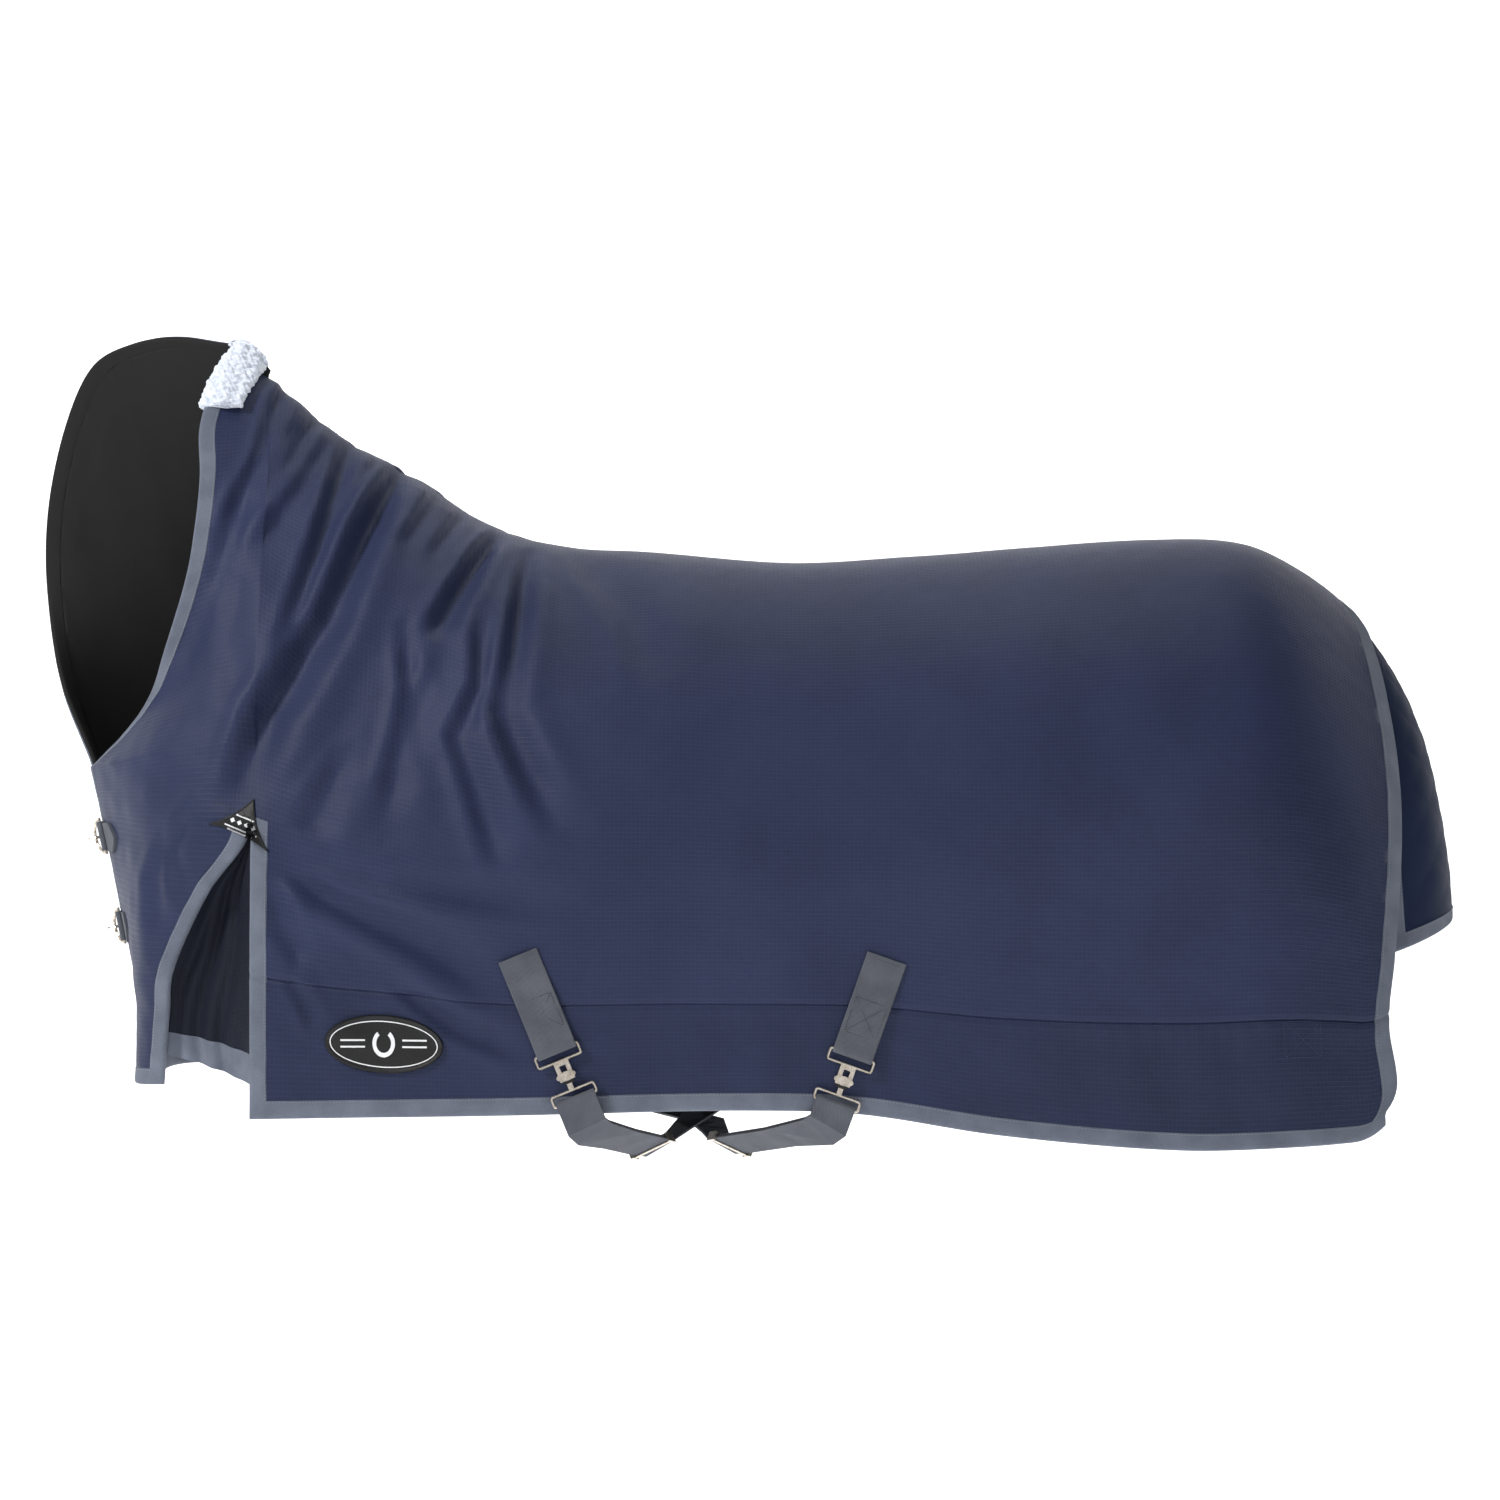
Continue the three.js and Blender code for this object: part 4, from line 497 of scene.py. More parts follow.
def make_mesh(name, verts, faces, uv=None, smooth=True, sharp=50, slots=None, millimetres=True):
    """A mesh object from arrays. uv is per vertex. slots is (materials, index of each face)."""
    mesh = bpy.data.meshes.new(name)
    verts = to_metres(verts) if millimetres else np.asarray(verts, float)
    mesh.from_pydata([tuple(v) for v in verts], [], [tuple(int(i) for i in f) for f in faces])
    mesh.validate()
    if uv is not None:
        layer = mesh.uv_layers.new(name="weave")
        index = np.zeros(len(mesh.loops), np.int32)
        mesh.loops.foreach_get("vertex_index", index)
        layer.data.foreach_set("uv", np.asarray(uv, np.float32)[index].ravel())
    if smooth:
        mesh.polygons.foreach_set("use_smooth", np.ones(len(mesh.polygons), bool))
        mesh.set_sharp_from_angle(angle=math.radians(sharp))
    obj = bpy.data.objects.new(name, mesh)
    bpy.context.scene.collection.objects.link(obj)
    if slots is not None:
        for material in slots[0]:
            mesh.materials.append(material)
        if len(slots) > 1:
            mesh.polygons.foreach_set("material_index", np.asarray(slots[1], np.int32))
    return obj


def thicken(points, normals, quads, top, bottom, uv=None):
    """Closes a sheet of quads between two offsets along its normals. Returns verts, faces, uv and each face's layer:
    0 top, 1 bottom, 2 wall."""
    used, inverse = np.unique(quads, return_inverse=True)
    q = inverse.reshape(quads.shape)
    n = len(used)
    top = np.broadcast_to(top, len(points))[used][:, None]
    bottom = np.broadcast_to(bottom, len(points))[used][:, None]
    verts = np.concatenate([points[used] + normals[used] * top, points[used] + normals[used] * bottom])
    a, b = q.ravel(), np.roll(q, -1, axis=1).ravel()
    forward = a.astype(np.int64) * n + b
    backward = b.astype(np.int64) * n + a
    border = ~np.isin(forward, backward)
    wall = np.stack([b[border], a[border], a[border] + n, b[border] + n], -1)
    faces = np.concatenate([q, q[:, ::-1] + n, wall])
    layer = np.repeat([0, 1, 2], [len(q), len(q), len(wall)])
    out_uv = None if uv is None else np.concatenate([uv[used], uv[used]])
    return verts, faces, out_uv, layer


# ---- Materials ---------------------------------------------------------------------------------------------------


class Nodes:
    """A short way to write a material's node tree."""

    def __init__(self, name):
        self.material = bpy.data.materials.new(name)
        self.material.use_nodes = True
        self.tree = self.material.node_tree
        self.tree.nodes.clear()
        self.out = self.tree.nodes.new("ShaderNodeOutputMaterial")
        self.shader = self.tree.nodes.new("ShaderNodeBsdfPrincipled")
        self.tree.links.new(self.shader.outputs[0], self.out.inputs[0])

    def add(self, kind, inputs=(), **settings):
        node = self.tree.nodes.new("ShaderNode" + kind)
        for key, value in settings.items():
            setattr(node, key, value)
        for slot, value in dict(inputs).items():
            self.put(node.inputs[slot], value)
        return node

    def put(self, socket, value):
        if isinstance(value, bpy.types.Node):
            value = value.outputs[0]
        if isinstance(value, bpy.types.NodeSocket):
            self.tree.links.new(value, socket)
        elif hasattr(value, "__len__") and len(value) == 3 and socket.type == "RGBA":
            socket.default_value = (*value, 1)
        else:
            socket.default_value = value

    def math(self, operation, a, b=0.0, clamp=False):
        return self.add("Math", {0: a, 1: b}, operation=operation, use_clamp=clamp)

    def scaled(self, value, factor, plus):
        return self.add("Math", {0: value, 1: factor, 2: plus}, operation="MULTIPLY_ADD")

    def uv(self):
        return self.add("UVMap", uv_map="weave").outputs[0]

    def place(self):
        return self.add("TexCoord").outputs["Object"]

    def split(self, vector):
        node = self.add("SeparateXYZ", {0: vector})
        return node.outputs[0], node.outputs[1], node.outputs[2]

    def noise(self, vector, scale, detail=2.0, rough=0.5):
        return self.add("TexNoise", {"Vector": vector, "Scale": scale, "Detail": detail, "Roughness": rough}).outputs[0]

    def ramp(self, factor, stops):
        node = self.add("ValToRGB", {0: factor})
        ramp = node.color_ramp
        while len(ramp.elements) < len(stops):
            ramp.elements.new(0.5)
        for element, (at, color) in zip(ramp.elements, stops):
            element.position = at
            element.color = (*color, 1)
        return node.outputs[0]

    def mix(self, factor, a, b, blend="MIX"):
        node = self.add("Mix", data_type="RGBA", blend_type=blend)
        self.put(node.inputs[0], factor)
        self.put(node.inputs[6], a)
        self.put(node.inputs[7], b)
        return node.outputs[2]

    def bump(self, height, distance, strength=1.0, normal=None):
        node = self.add("Bump", {"Height": height, "Distance": distance, "Strength": strength})
        if normal is not None:
            self.put(node.inputs["Normal"], normal)
        return node.outputs[0]

    def finish(self, color, roughness, normal=None, **constants):
        self.put(self.shader.inputs["Base Color"], color)
        self.put(self.shader.inputs["Roughness"], roughness)
        if normal is not None:
            self.put(self.shader.inputs["Normal"], normal)
        for key, value in constants.items():
            self.shader.inputs[key.replace("_", " ")].default_value = value
        return self.material


def linear(rgb):
    """Linear colour of an sRGB colour given from 0 to 255."""
    return tuple(((c / 255 + 0.055) / 1.055) ** 2.4 if c > 10 else c / 255 / 12.92 for c in rgb)


def ripstop(name, low, high, roughness, cell=0.0052, sheen=0.02):
    """Fine plain weave with a raised square grid, on the weave layout."""
    n = Nodes(name)
    u, v, _ = n.split(n.uv())
    lines = []
    for axis, weight in ((u, 0.7), (v, 1.0)):
        wave = n.math("SINE", n.math("MULTIPLY", axis, 2 * math.pi / cell))
        ridge = n.math("POWER", n.scaled(wave, 0.5, 0.5), 4.0)
        lines.append(n.math("MULTIPLY", ridge, weight))
    grid = n.math("MAXIMUM", lines[0], lines[1])
    threads = n.math(
        "MULTIPLY",
        n.math("SINE", n.math("MULTIPLY", u, 2 * math.pi / 0.0011)),
        n.math("SINE", n.math("MULTIPLY", v, 2 * math.pi / 0.0011)),
    )
    broad = n.noise(n.place(), 7.0, 3.0)
    slub = n.noise(n.add("VectorMath", {0: n.uv(), 1: (60, 900, 1)}, operation="MULTIPLY").outputs[0], 1.0, 2.0)
    tone = n.math("ADD", n.math("MULTIPLY", broad, 0.55), n.math("MULTIPLY", slub, 0.35))
    color = n.ramp(tone, [(0.25, low), (0.7, high)])
    color = n.mix(n.math("MULTIPLY", grid, 0.16), color, tuple(c * 1.9 for c in high))
    height = n.math("ADD", n.math("MULTIPLY", grid, 1.0), n.math("MULTIPLY", threads, 0.25))
    creases = n.noise(n.place(), 38.0, 4.0, 0.6)
    normal = n.bump(creases, 0.0009, 0.5)
    normal = n.bump(height, 0.00022, 0.8, normal)
    return n.finish(color, n.scaled(grid, -0.05, roughness), normal, Sheen_Weight=sheen, Sheen_Roughness=0.4,
                    Specular_IOR_Level=0.16)


def tape_material(name, low, high, rib=0.0016, cross=0.0026, laid_out=True):
    """Woven tape or webbing: two slanting sets of ribs, on the weave layout or by place."""
    n = Nodes(name)
    p = n.place()
    x, y, _ = n.split(n.uv() if laid_out else p)
    ribs = n.math("SINE", n.math("MULTIPLY", n.math("ADD", x, y), 2 * math.pi / rib))
    picks = n.math("SINE", n.math("MULTIPLY", n.math("SUBTRACT", x, y), 2 * math.pi / cross))
    weave = n.math("MULTIPLY", ribs, picks)
    broad, fine = n.noise(p, 26.0, 3.0), n.noise(p, 900.0, 2.0)
    tone = n.math("ADD", n.math("MULTIPLY", broad, 0.6), n.math("MULTIPLY", fine, 0.4))
    color = n.ramp(tone, [(0.3, low), (0.72, high)])
    color = n.mix(n.math("MULTIPLY", n.math("ABSOLUTE", weave), 0.12), color, tuple(c * 0.55 for c in low))
    normal = n.bump(weave, 0.00035, 0.8, n.bump(n.noise(p, 60.0, 3.0), 0.0006, 0.5))
    return n.finish(color, 0.82, normal, Sheen_Weight=0.05, Sheen_Roughness=0.5, Specular_IOR_Level=0.12)


def soft_material(name, low, high, scale, roughness, depth, sheen=0.2):
    """Plain cloth, filling, rubber or leather with a fine random grain."""
    n = Nodes(name)
    p = n.place()
    grain = n.noise(p, scale, 4.0, 0.6)
    broad = n.noise(p, 9.0, 3.0)
    tone = n.math("ADD", n.math("MULTIPLY", grain, 0.5), n.math("MULTIPLY", broad, 0.5))
    color = n.ramp(tone, [(0.3, low), (0.7, high)])
    return n.finish(color, roughness, n.bump(grain, depth, 0.8), Sheen_Weight=sheen, Sheen_Roughness=0.5,
                    Specular_IOR_Level=0.3)


def fleece_material():
    n = Nodes("fleece")
    p = n.place()
    tufts = n.noise(p, 190.0, 5.0, 0.65)
    cells = n.add("TexVoronoi", {"Vector": p, "Scale": 260.0}).outputs[0]
    tone = n.math("SUBTRACT", tufts, n.math("MULTIPLY", cells, 0.25))
    # The fleece is white. Its colour runs down to blue-grey where tone is low, and tone also sets the bump's height:
    # this is painted shade in the hollows between tufts and along the Voronoi cells' edges.
    tuft_shade_stops = [(0.12, (176, 186, 206)), (0.45, (226, 232, 243)), (0.7, (246, 249, 254))]
    color = n.ramp(tone, [(at, linear(rgb)) for at, rgb in tuft_shade_stops])
    return n.finish(color, 0.95, n.bump(tone, 0.0022, 1.0), Sheen_Weight=0.5, Sheen_Roughness=0.6,
                    Specular_IOR_Level=0.1)


def nickel_material():
    n = Nodes("nickel")
    p = n.place()
    wear = n.noise(p, 140.0, 4.0, 0.6)
    fine = n.noise(p, 1800.0, 2.0)
    color = n.ramp(wear, [(0.3, (0.52, 0.46, 0.39)), (0.7, (0.78, 0.72, 0.64))])
    rough = n.add("MapRange", {0: fine, 3: 0.2, 4: 0.36})
    return n.finish(color, rough, n.bump(fine, 0.00004, 0.6), Metallic=1.0)


NAVY = ripstop("navy_ripstop", linear((32, 39, 62)), linear((44, 51, 80)), 0.52)
BAND = ripstop("hem_fabric", linear((30, 37, 59)), linear((40, 47, 74)), 0.55, cell=0.0052, sheen=0.01)
# The gusset is navy cloth, darkened further towards black: painted shade of the recess it sits in.
GUSSET_SHADED = ripstop("gusset_fabric_painted_shade", linear((14, 17, 27)), linear((22, 26, 40)), 0.7, cell=0.0052, sheen=0.0)
FLAP = ripstop("flap_fabric", linear((17, 28, 52)), linear((24, 37, 66)), 0.62, cell=0.0009, sheen=0.02)
BLACK = soft_material("lining_nylon", (0.0018, 0.0018, 0.0019), (0.0036, 0.0036, 0.0037), 420.0, 0.72, 0.0002, 0.0)
WADDING = soft_material("wadding", (0.6, 0.6, 0.58), (0.8, 0.8, 0.78), 160.0, 0.95, 0.002)
BINDING = tape_material("binding_tape", linear((92, 98, 112)), linear((122, 129, 143)))
WEBBING = tape_material("webbing", linear((76, 79, 87)), linear((101, 104, 112)), rib=0.0024, cross=0.0036)
PLAIN_WEBBING = tape_material("webbing_small", linear((76, 79, 87)), linear((101, 104, 112)), laid_out=False)
RUBBER = soft_material("black_rubber", (0.006, 0.006, 0.0065), (0.014, 0.014, 0.015), 500.0, 0.55, 0.0003, 0.0)
PATCH = soft_material("patch_leather", (0.005, 0.005, 0.0055), (0.012, 0.012, 0.013), 330.0, 0.5, 0.0006, 0.0)
PRINT = soft_material("white_print", (0.62, 0.63, 0.65), (0.8, 0.8, 0.82), 300.0, 0.6, 0.0002, 0.0)
THREAD_NAVY = soft_material("navy_thread", linear((38, 45, 70)), linear((58, 66, 96)), 900.0, 0.7, 0.0001)
THREAD_GREY = soft_material("grey_thread", linear((118, 124, 138)), linear((142, 148, 160)), 900.0, 0.7, 0.0001)
THREAD_DARK = soft_material("dark_thread", linear((40, 42, 48)), linear((58, 60, 67)), 900.0, 0.7, 0.0001)
FLEECE = fleece_material()
NICKEL = nickel_material()

# ---- The cloth pieces --------------------------------------------------------------------------------------------

SIDES = ((-1, "left"), (1, "right"))


def settle(obj, slot, *nodes, body=RUG):
    """A finished piece: it rides on a body and stands for CAD nodes. slot is not used."""
    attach(obj, body)
    if nodes:
        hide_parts(*nodes)
    return obj


def is_tape(grid):
    side, body, i, j, ni = grid.tags.T
    apex, last = grid.find(APEX_ROW), len(grid.rows) - 1
    return (i >= ni - N_TAPE) | (j >= last - N_TAPE) | ((i < N_TAPE) & (j >= apex))


def is_band(grid):
    side, body, i, j, ni = grid.tags.T
    return (body == 1) & (j >= grid.find(SEAM_ROW)) & ~is_tape(grid)


def layer(grid, name, mask, top, bottom, materials, pick=None, sharp=88):
    verts, faces, uv, which = thicken(grid.points, grid.normals, grid.quads[mask], top, bottom, grid.uv)
    index = np.zeros(len(faces), int) if pick is None else pick(verts, faces, which)
    return make_mesh(name, verts, faces, uv, sharp=sharp, slots=(materials, index))


rug = Grid(5.5)
side_of, body_of, col_of, row_of, cols_of = rug.tags.T
tape, band = is_tape(rug), is_band(rug)

# Upper and lower face of each layer, as heights off the rug's surface.
OUTER, FILLING, LINING = (0.0, -1.2), (-2.4, -6.6), (-7.7, -8.8)

outer = layer(rug, "outer_cloth", ~tape & ~band, *OUTER, [NAVY])
settle(outer, "outer", "outer_shell")

whole_body = body_of == 1
for side, name in SIDES:
    for mask, part in ((whole_body, "body"), (~whole_body, "neck")):
        own = ~tape & mask & (side_of == side)
        filling = layer(rug, f"{name}_{part}_filling", own, *FILLING, [WADDING])
        settle(filling, "wadding", f"{name}_{part}_insulation")
lining = layer(rug, "lining_cloth", ~tape, *LINING, [BLACK])
settle(lining, "lining", "lining")

# The tape is folded round the cloth's edge: thin at the rim, flat on both faces.
TAPE_TOP = np.interp(rug.edge, TAPE_STEPS, [-3.4, -1.2, 0.1, 0.6, 0.7, 0.6, 0.1])
TAPE_BOTTOM = np.interp(rug.edge, TAPE_STEPS, [-5.6, -7.9, -9.0, -9.4, -9.5, -9.4, -8.9])

neck_quads = (body_of == 0) & (col_of >= cols_of - N_TAPE) & (row_of < rug.find(CHEST_ROW))
for side, name in SIDES:
    own = side_of == side
    cloth = layer(rug, f"{name}_hem_cloth", band & own, *OUTER, [BAND])
    settle(cloth, "hem_fabric", f"{name}_hem_band")
    masks = {
        "body": tape & own & (body_of == 1),
        "neck": tape & own & neck_quads,
        "front": tape & own & (body_of == 0) & ~neck_quads,
    }
    for part, mask in masks.items():

        def pick(verts, faces, which, far=side > 0, dark=part == "neck"):
            # The lining is turned over the inside of the neck tape.
            if not dark:
                return np.zeros(len(faces), int)
            index = (which == 1).astype(int)
            if far:
                index[which == 2] = 1
            return index

        strip = layer(rug, f"{name}_{part}_tape", mask, TAPE_TOP, TAPE_BOTTOM, [BINDING, BLACK], pick, sharp=75)
        settle(strip, "binding", f"{name}_{part}_binding")

# ---- Where things lie on the finished surface --------------------------------------------------------------------

SKIN = BVHTree.FromPolygons([tuple(p) for p in rug.points], [tuple(int(i) for i in q) for q in rug.quads])


def cast(origin, direction):
    """Where a ray meets the outside of the rug, and the normal there facing the ray."""
    direction = Vector(direction).normalized()
    hit, normal, _, _ = SKIN.ray_cast(Vector(origin), direction)
    if hit is None:
        return None, None
    if normal.dot(direction) > 0:
        normal = -normal
    return np.array(hit), np.array(normal)


def on_side(side, x, z):
    return cast((x, side * 900, z), (0, -side, 0))


def row_normals(points):
    """Normals of a net of points, shape (rows, columns, 3)."""
    du = np.gradient(points, axis=0)
    dv = np.gradient(points, axis=1)
    n = np.cross(du, dv)
    n /= np.maximum(np.linalg.norm(n, axis=-1, keepdims=True), 1e-9)
    return n


def net_quads(rows, columns, closed=False):
    index = np.arange(rows * columns).reshape(rows, columns)
    if closed:
        index = np.concatenate([index, index[:, :1]], axis=1)
    return np.stack([index[:-1, :-1], index[1:, :-1], index[1:, 1:], index[:-1, 1:]], -1).reshape(-1, 4)


def closed_net(name, points, material, top, bottom, sharp=50):
    """A solid from a net of points, thickened along its normals. top and bottom may vary over the net."""
    rows, columns = points.shape[:2]
    normals = row_normals(points).reshape(-1, 3)
    quads = net_quads(rows, columns)
    middle = len(quads) // 2
    a, b, c, d = quads[middle]
    flat = points.reshape(-1, 3)
    facing = np.cross(flat[c] - flat[a], flat[d] - flat[b])
    if facing @ normals[a] < 0:
        quads = quads[:, ::-1]
    along = np.concatenate([[0], np.cumsum(np.linalg.norm(np.diff(points[:, columns // 2], axis=0), axis=1))])
    across = np.concatenate([[0], np.cumsum(np.linalg.norm(np.diff(points[rows // 2], axis=0), axis=1))])
    uv = np.stack(np.meshgrid(along, across, indexing="ij"), -1).reshape(-1, 2) / 1000
    top, bottom = (np.broadcast_to(v, (rows, columns)).ravel() for v in (top, bottom))
    verts, faces, out_uv, _ = thicken(flat, normals, quads, top, bottom, uv)
    return make_mesh(name, verts, faces, out_uv, sharp=sharp, slots=([material],))


def smooth_path(points, count):
    """Points spread evenly along a smooth curve through the given ones."""
    points = np.asarray(points, float)
    steps = np.concatenate([[0], np.cumsum(np.linalg.norm(np.diff(points, axis=0), axis=1) ** 0.5)])
    through = curve(np.column_stack([steps, points]))
    fine = through(np.linspace(0, steps[-1], 40 * len(points)))
    run = np.concatenate([[0], np.cumsum(np.linalg.norm(np.diff(fine, axis=0), axis=1))])
    even = np.linspace(0, run[-1], count)
    return np.stack([np.interp(even, run, fine[:, k]) for k in range(fine.shape[1])], -1)


EDGE_SHARES = np.array([-1, -0.985, -0.93, -0.6, -0.2, 0.2, 0.6, 0.93, 0.985, 1])
EDGE_HEIGHT = np.array([0.35, 0.8, 1, 0.97, 1, 1, 0.97, 1, 0.8, 0.35])


def webbing(name, path, across, width, thickness, material, step=2.5):
    """Flat webbing swept along a path. across holds the direction of its width at each point."""
    path = np.asarray(path, float)
    across = np.broadcast_to(np.asarray(across, float), path.shape)
    length = np.linalg.norm(np.diff(path, axis=0), axis=1).sum()
    both = smooth_path(np.concatenate([path, across * 60], axis=1), max(8, int(length / step)))
    path, across = both[:, :3], both[:, 3:]
    along = np.gradient(path, axis=0)
    along /= np.linalg.norm(along, axis=1, keepdims=True)
    across = across - along * (across * along).sum(1, keepdims=True)
    across /= np.linalg.norm(across, axis=1, keepdims=True)
    points = path[:, None] + across[:, None] * EDGE_SHARES[None, :, None] * width / 2
    level = thickness / 2 * EDGE_HEIGHT[None, :].repeat(len(path), 0)
    return closed_net(name, points, material, level, -level, sharp=70)


# ---- Stitching ---------------------------------------------------------------------------------------------------


class Thread:
    """Rows of separate stitches gathered into one mesh."""

    def __init__(self):
        self.verts, self.faces = [], []

    def row(self, points, normals, pitch=4.2, length=2.9, radius=0.42, lift=0.12):
        points, normals = np.asarray(points, float), np.asarray(normals, float)
        run = np.concatenate([[0], np.cumsum(np.linalg.norm(np.diff(points, axis=0), axis=1))])
        for k in range(int(run[-1] / pitch)):
            a, b = k * pitch + (pitch - length) / 2, k * pitch + (pitch + length) / 2
            ends = [np.array([np.interp(t, run, points[:, c]) for c in range(3)]) for t in (a, b)]
            n = np.array([np.interp((a + b) / 2, run, normals[:, c]) for c in range(3)])
            n /= np.linalg.norm(n)
            along = ends[1] - ends[0]
            size = np.linalg.norm(along)
            if size < 0.3 * length or size > 1.6 * length:
                continue
            along /= size
            side = np.cross(n, along)
            base = len(self.verts)
            middle = (ends[0] + ends[1]) / 2 + n * lift
            ring = []
            for t in (-0.32, 0.32):
                at = middle + along * size * t
                ring += [at + side * radius, at + n * radius, at - side * radius, at - n * radius]
            self.verts += [ends[0] - n * 0.25, *ring, ends[1] - n * 0.25]
            for m in range(4):
                p, q = base + 1 + m, base + 1 + (m + 1) % 4
                self.faces += [(base, q, p), (p, q, q + 4, p + 4), (p + 4, q + 4, base + 9)]

    def made(self, name, material, slot, body=RUG):
        obj = make_mesh(name, np.array(self.verts), self.faces, slots=([material],), sharp=80)
        return settle(obj, slot, body=body)


def grid_line(ids, lift):
    return rug.points[ids] + rug.normals[ids] * lift, rug.normals[ids]


tape_thread, navy_thread = Thread(), Thread()
apex, seam = rug.find(APEX_ROW), rug.find(SEAM_ROW)
K = TAPE_STEPS.index(20.0)  # the tape's stitches run along this column
for side, name in SIDES:
    ids_b, ids_f = rug.ids[side, "body"], rug.ids[side, "front"]
    hem = ids_b.shape[1] - 1 - K
    lines = [
        ids_b[-1 - K, : hem + 1], ids_b[K : ids_b.shape[0] - K, hem], ids_b[K, apex + 2 : hem + 1],
        ids_f[K : ids_f.shape[0] - K, hem], ids_f[K, apex + 3 : hem + 1], ids_f[-1 - K, : hem + 1],
    ]
    for line in lines:
        tape_thread.row(*grid_line(line, 0.75))
    for offset in (-1, 1):
        navy_thread.row(*grid_line(ids_b[N_TAPE:-N_TAPE, seam + offset], 0.0), pitch=3.6, length=2.6)

# ---- Shoulder gussets --------------------------------------------------------------------------------------------

for side, name in SIDES:
    seats = []
    for patch in ("front", "body"):
        ids = rug.ids[side, patch][0, apex + 1 :]
        seats.append(rug.points[ids] - rug.normals[ids] * 9.6)
    run = np.concatenate([[0], np.cumsum(np.linalg.norm(np.diff(seats[1], axis=0), axis=1))])
    even = np.linspace(6, run[-1] - 42, 44)
    ahead, behind = (np.stack([np.interp(even, run, s[:, c]) for c in range(3)], -1) for s in seats)
    gap = np.linalg.norm(behind - ahead, axis=1)
    t = np.linspace(-0.06, 1.06, 30)
    net = ahead[:, None] + (behind - ahead)[:, None] * t[None, :, None]
    depth = np.minimum(GUSSET_DEPTH, gap * 0.42)
    arch = np.sin(math.pi * np.clip(t, 0, 1))
    bulge = arch**0.7
    pleat = 3.2 * np.sin(t * 21 + np.sin(even / 34)[:, None] * 1.4) * arch * (gap / 70)[:, None]
    net[..., 1] -= side * (depth[:, None] * bulge + pleat)
    cut_at = 38
    # The gusset's near-black colour is painted shade of its recess.
    cloth = closed_net(f"{name}_gusset_cloth", net[: cut_at + 1], GUSSET_SHADED, 1.2, -1.2)
    settle(cloth, "hem_fabric", f"{name}_shoulder_gusset")
    edge = closed_net(f"{name}_gusset_tape", net[cut_at:], BINDING, 1.8, -1.8)
    settle(edge, "binding", f"{name}_gusset_binding")

# ---- Tail flap ---------------------------------------------------------------------------------------------------


def flap_point(c, w):
    x, z, side_x, side_y, side_z = np.moveaxis(flap_shape(w), -1, 0)
    angle = c * math.pi / 2
    share = np.maximum(np.cos(angle), 0)
    return np.stack([side_x + (x - side_x) * share**0.9, side_y * np.sin(angle), side_z + (z - side_z) * share], -1)


def resample(line, places):
    run = np.concatenate([[0], np.cumsum(np.linalg.norm(np.diff(line, axis=0), axis=1))])
    return np.stack([np.interp(places * run[-1], run, line[:, c]) for c in range(3)], -1)


steps = np.array(TAPE_STEPS)
fine_c = np.linspace(-1, 1, 401)
levels = np.concatenate([np.linspace(0, 0.955, 80), 1 - steps[::-1] / 490])
inner = np.linspace(0, 1, 90)[1:-1]
net = []
for w in levels:
    line = flap_point(fine_c, np.full(401, w))
    length = np.linalg.norm(np.diff(line, axis=0), axis=1).sum()
    rim = steps / length
    places = np.concatenate([rim, rim[-1] + inner * (1 - 2 * rim[-1]), 1 - rim[::-1]])
    net.append(resample(line, places))
net = np.array(net)
rows_n, cols_n = net.shape[:2]
flap_normal = row_normals(net)
if flap_normal[rows_n // 2, cols_n // 2, 0] < 0:
    flap_normal = -flap_normal
from_side = np.minimum(np.linalg.norm(net - net[:, :1], axis=-1), np.linalg.norm(net - net[:, -1:], axis=-1))
from_end = np.linalg.norm(net - net[-1:], axis=-1)
flap_edge = np.minimum(from_side, from_end)
arc = np.arange(cols_n)[None, :] / cols_n * 300
drop = levels[:, None] * 470
quilt = np.abs(np.sin((arc + drop) * math.pi / 62)) ** 0.5 * np.abs(np.sin((arc - drop) * math.pi / 62)) ** 0.5
hold = np.clip((flap_edge - 18) / 30, 0, 1)
wave = 2.6 * np.sin(arc / 31 + 0.8 * np.sin(drop / 90)) * np.clip(drop / 300, 0, 1) * np.clip(flap_edge / 20, 0.35, 1)
net = net + flap_normal * ((quilt * 1.7 - 1.2) * hold + wave)[..., None]
flat = net.reshape(-1, 3)
flap_quads = net_quads(rows_n, cols_n)
qi, qj = np.divmod(np.arange(len(flap_quads)), cols_n - 1)
flap_tape = (qj < N_TAPE) | (qj >= cols_n - 1 - N_TAPE) | (qi >= rows_n - 1 - N_TAPE)
trial = normals_of(flat, flap_quads)
if (trial * flap_normal.reshape(-1, 3)).sum() < 0:
    flap_quads = flap_quads[:, ::-1]
flat_normals = normals_of(flat, flap_quads)
flap_uv = np.stack([arc + 0 * drop, drop + 0 * arc], -1).reshape(-1, 2) / 1000
rim_top = np.interp(flap_edge.ravel(), TAPE_STEPS, [0.6, 1.9, 2.8, 3.1, 3.1, 3.1, 2.7])


def flap_layer(name, mask, top, bottom, material, *nodes, slot="outer"):
    verts, faces, uv, _ = thicken(flat, flat_normals, flap_quads[mask], top, bottom, flap_uv)
    obj = make_mesh(name, verts, faces, uv, slots=([material],), sharp=70)
    return settle(obj, slot, *nodes, body="tail_flap_body")


flap = flap_layer("tail_flap_cloth", ~flap_tape, 2.2, -2.2, FLAP, "tail_flap")
flap_layer("tail_flap_tape", flap_tape, rim_top, -rim_top, BINDING, "tail_flap_binding", slot="binding")
flap_thread = Thread()
for where in ((slice(0, -K), K), (slice(0, -K), -1 - K), (-1 - K, slice(K, -K))):
    flap_thread.row(net[where] + flap_normal[where] * 3.15, flap_normal[where])
flap_thread.made("tail_flap_stitching", THREAD_GREY, "binding", body="tail_flap_body")

# ---- Fleece at the poll ------------------------------------------------------------------------------------------

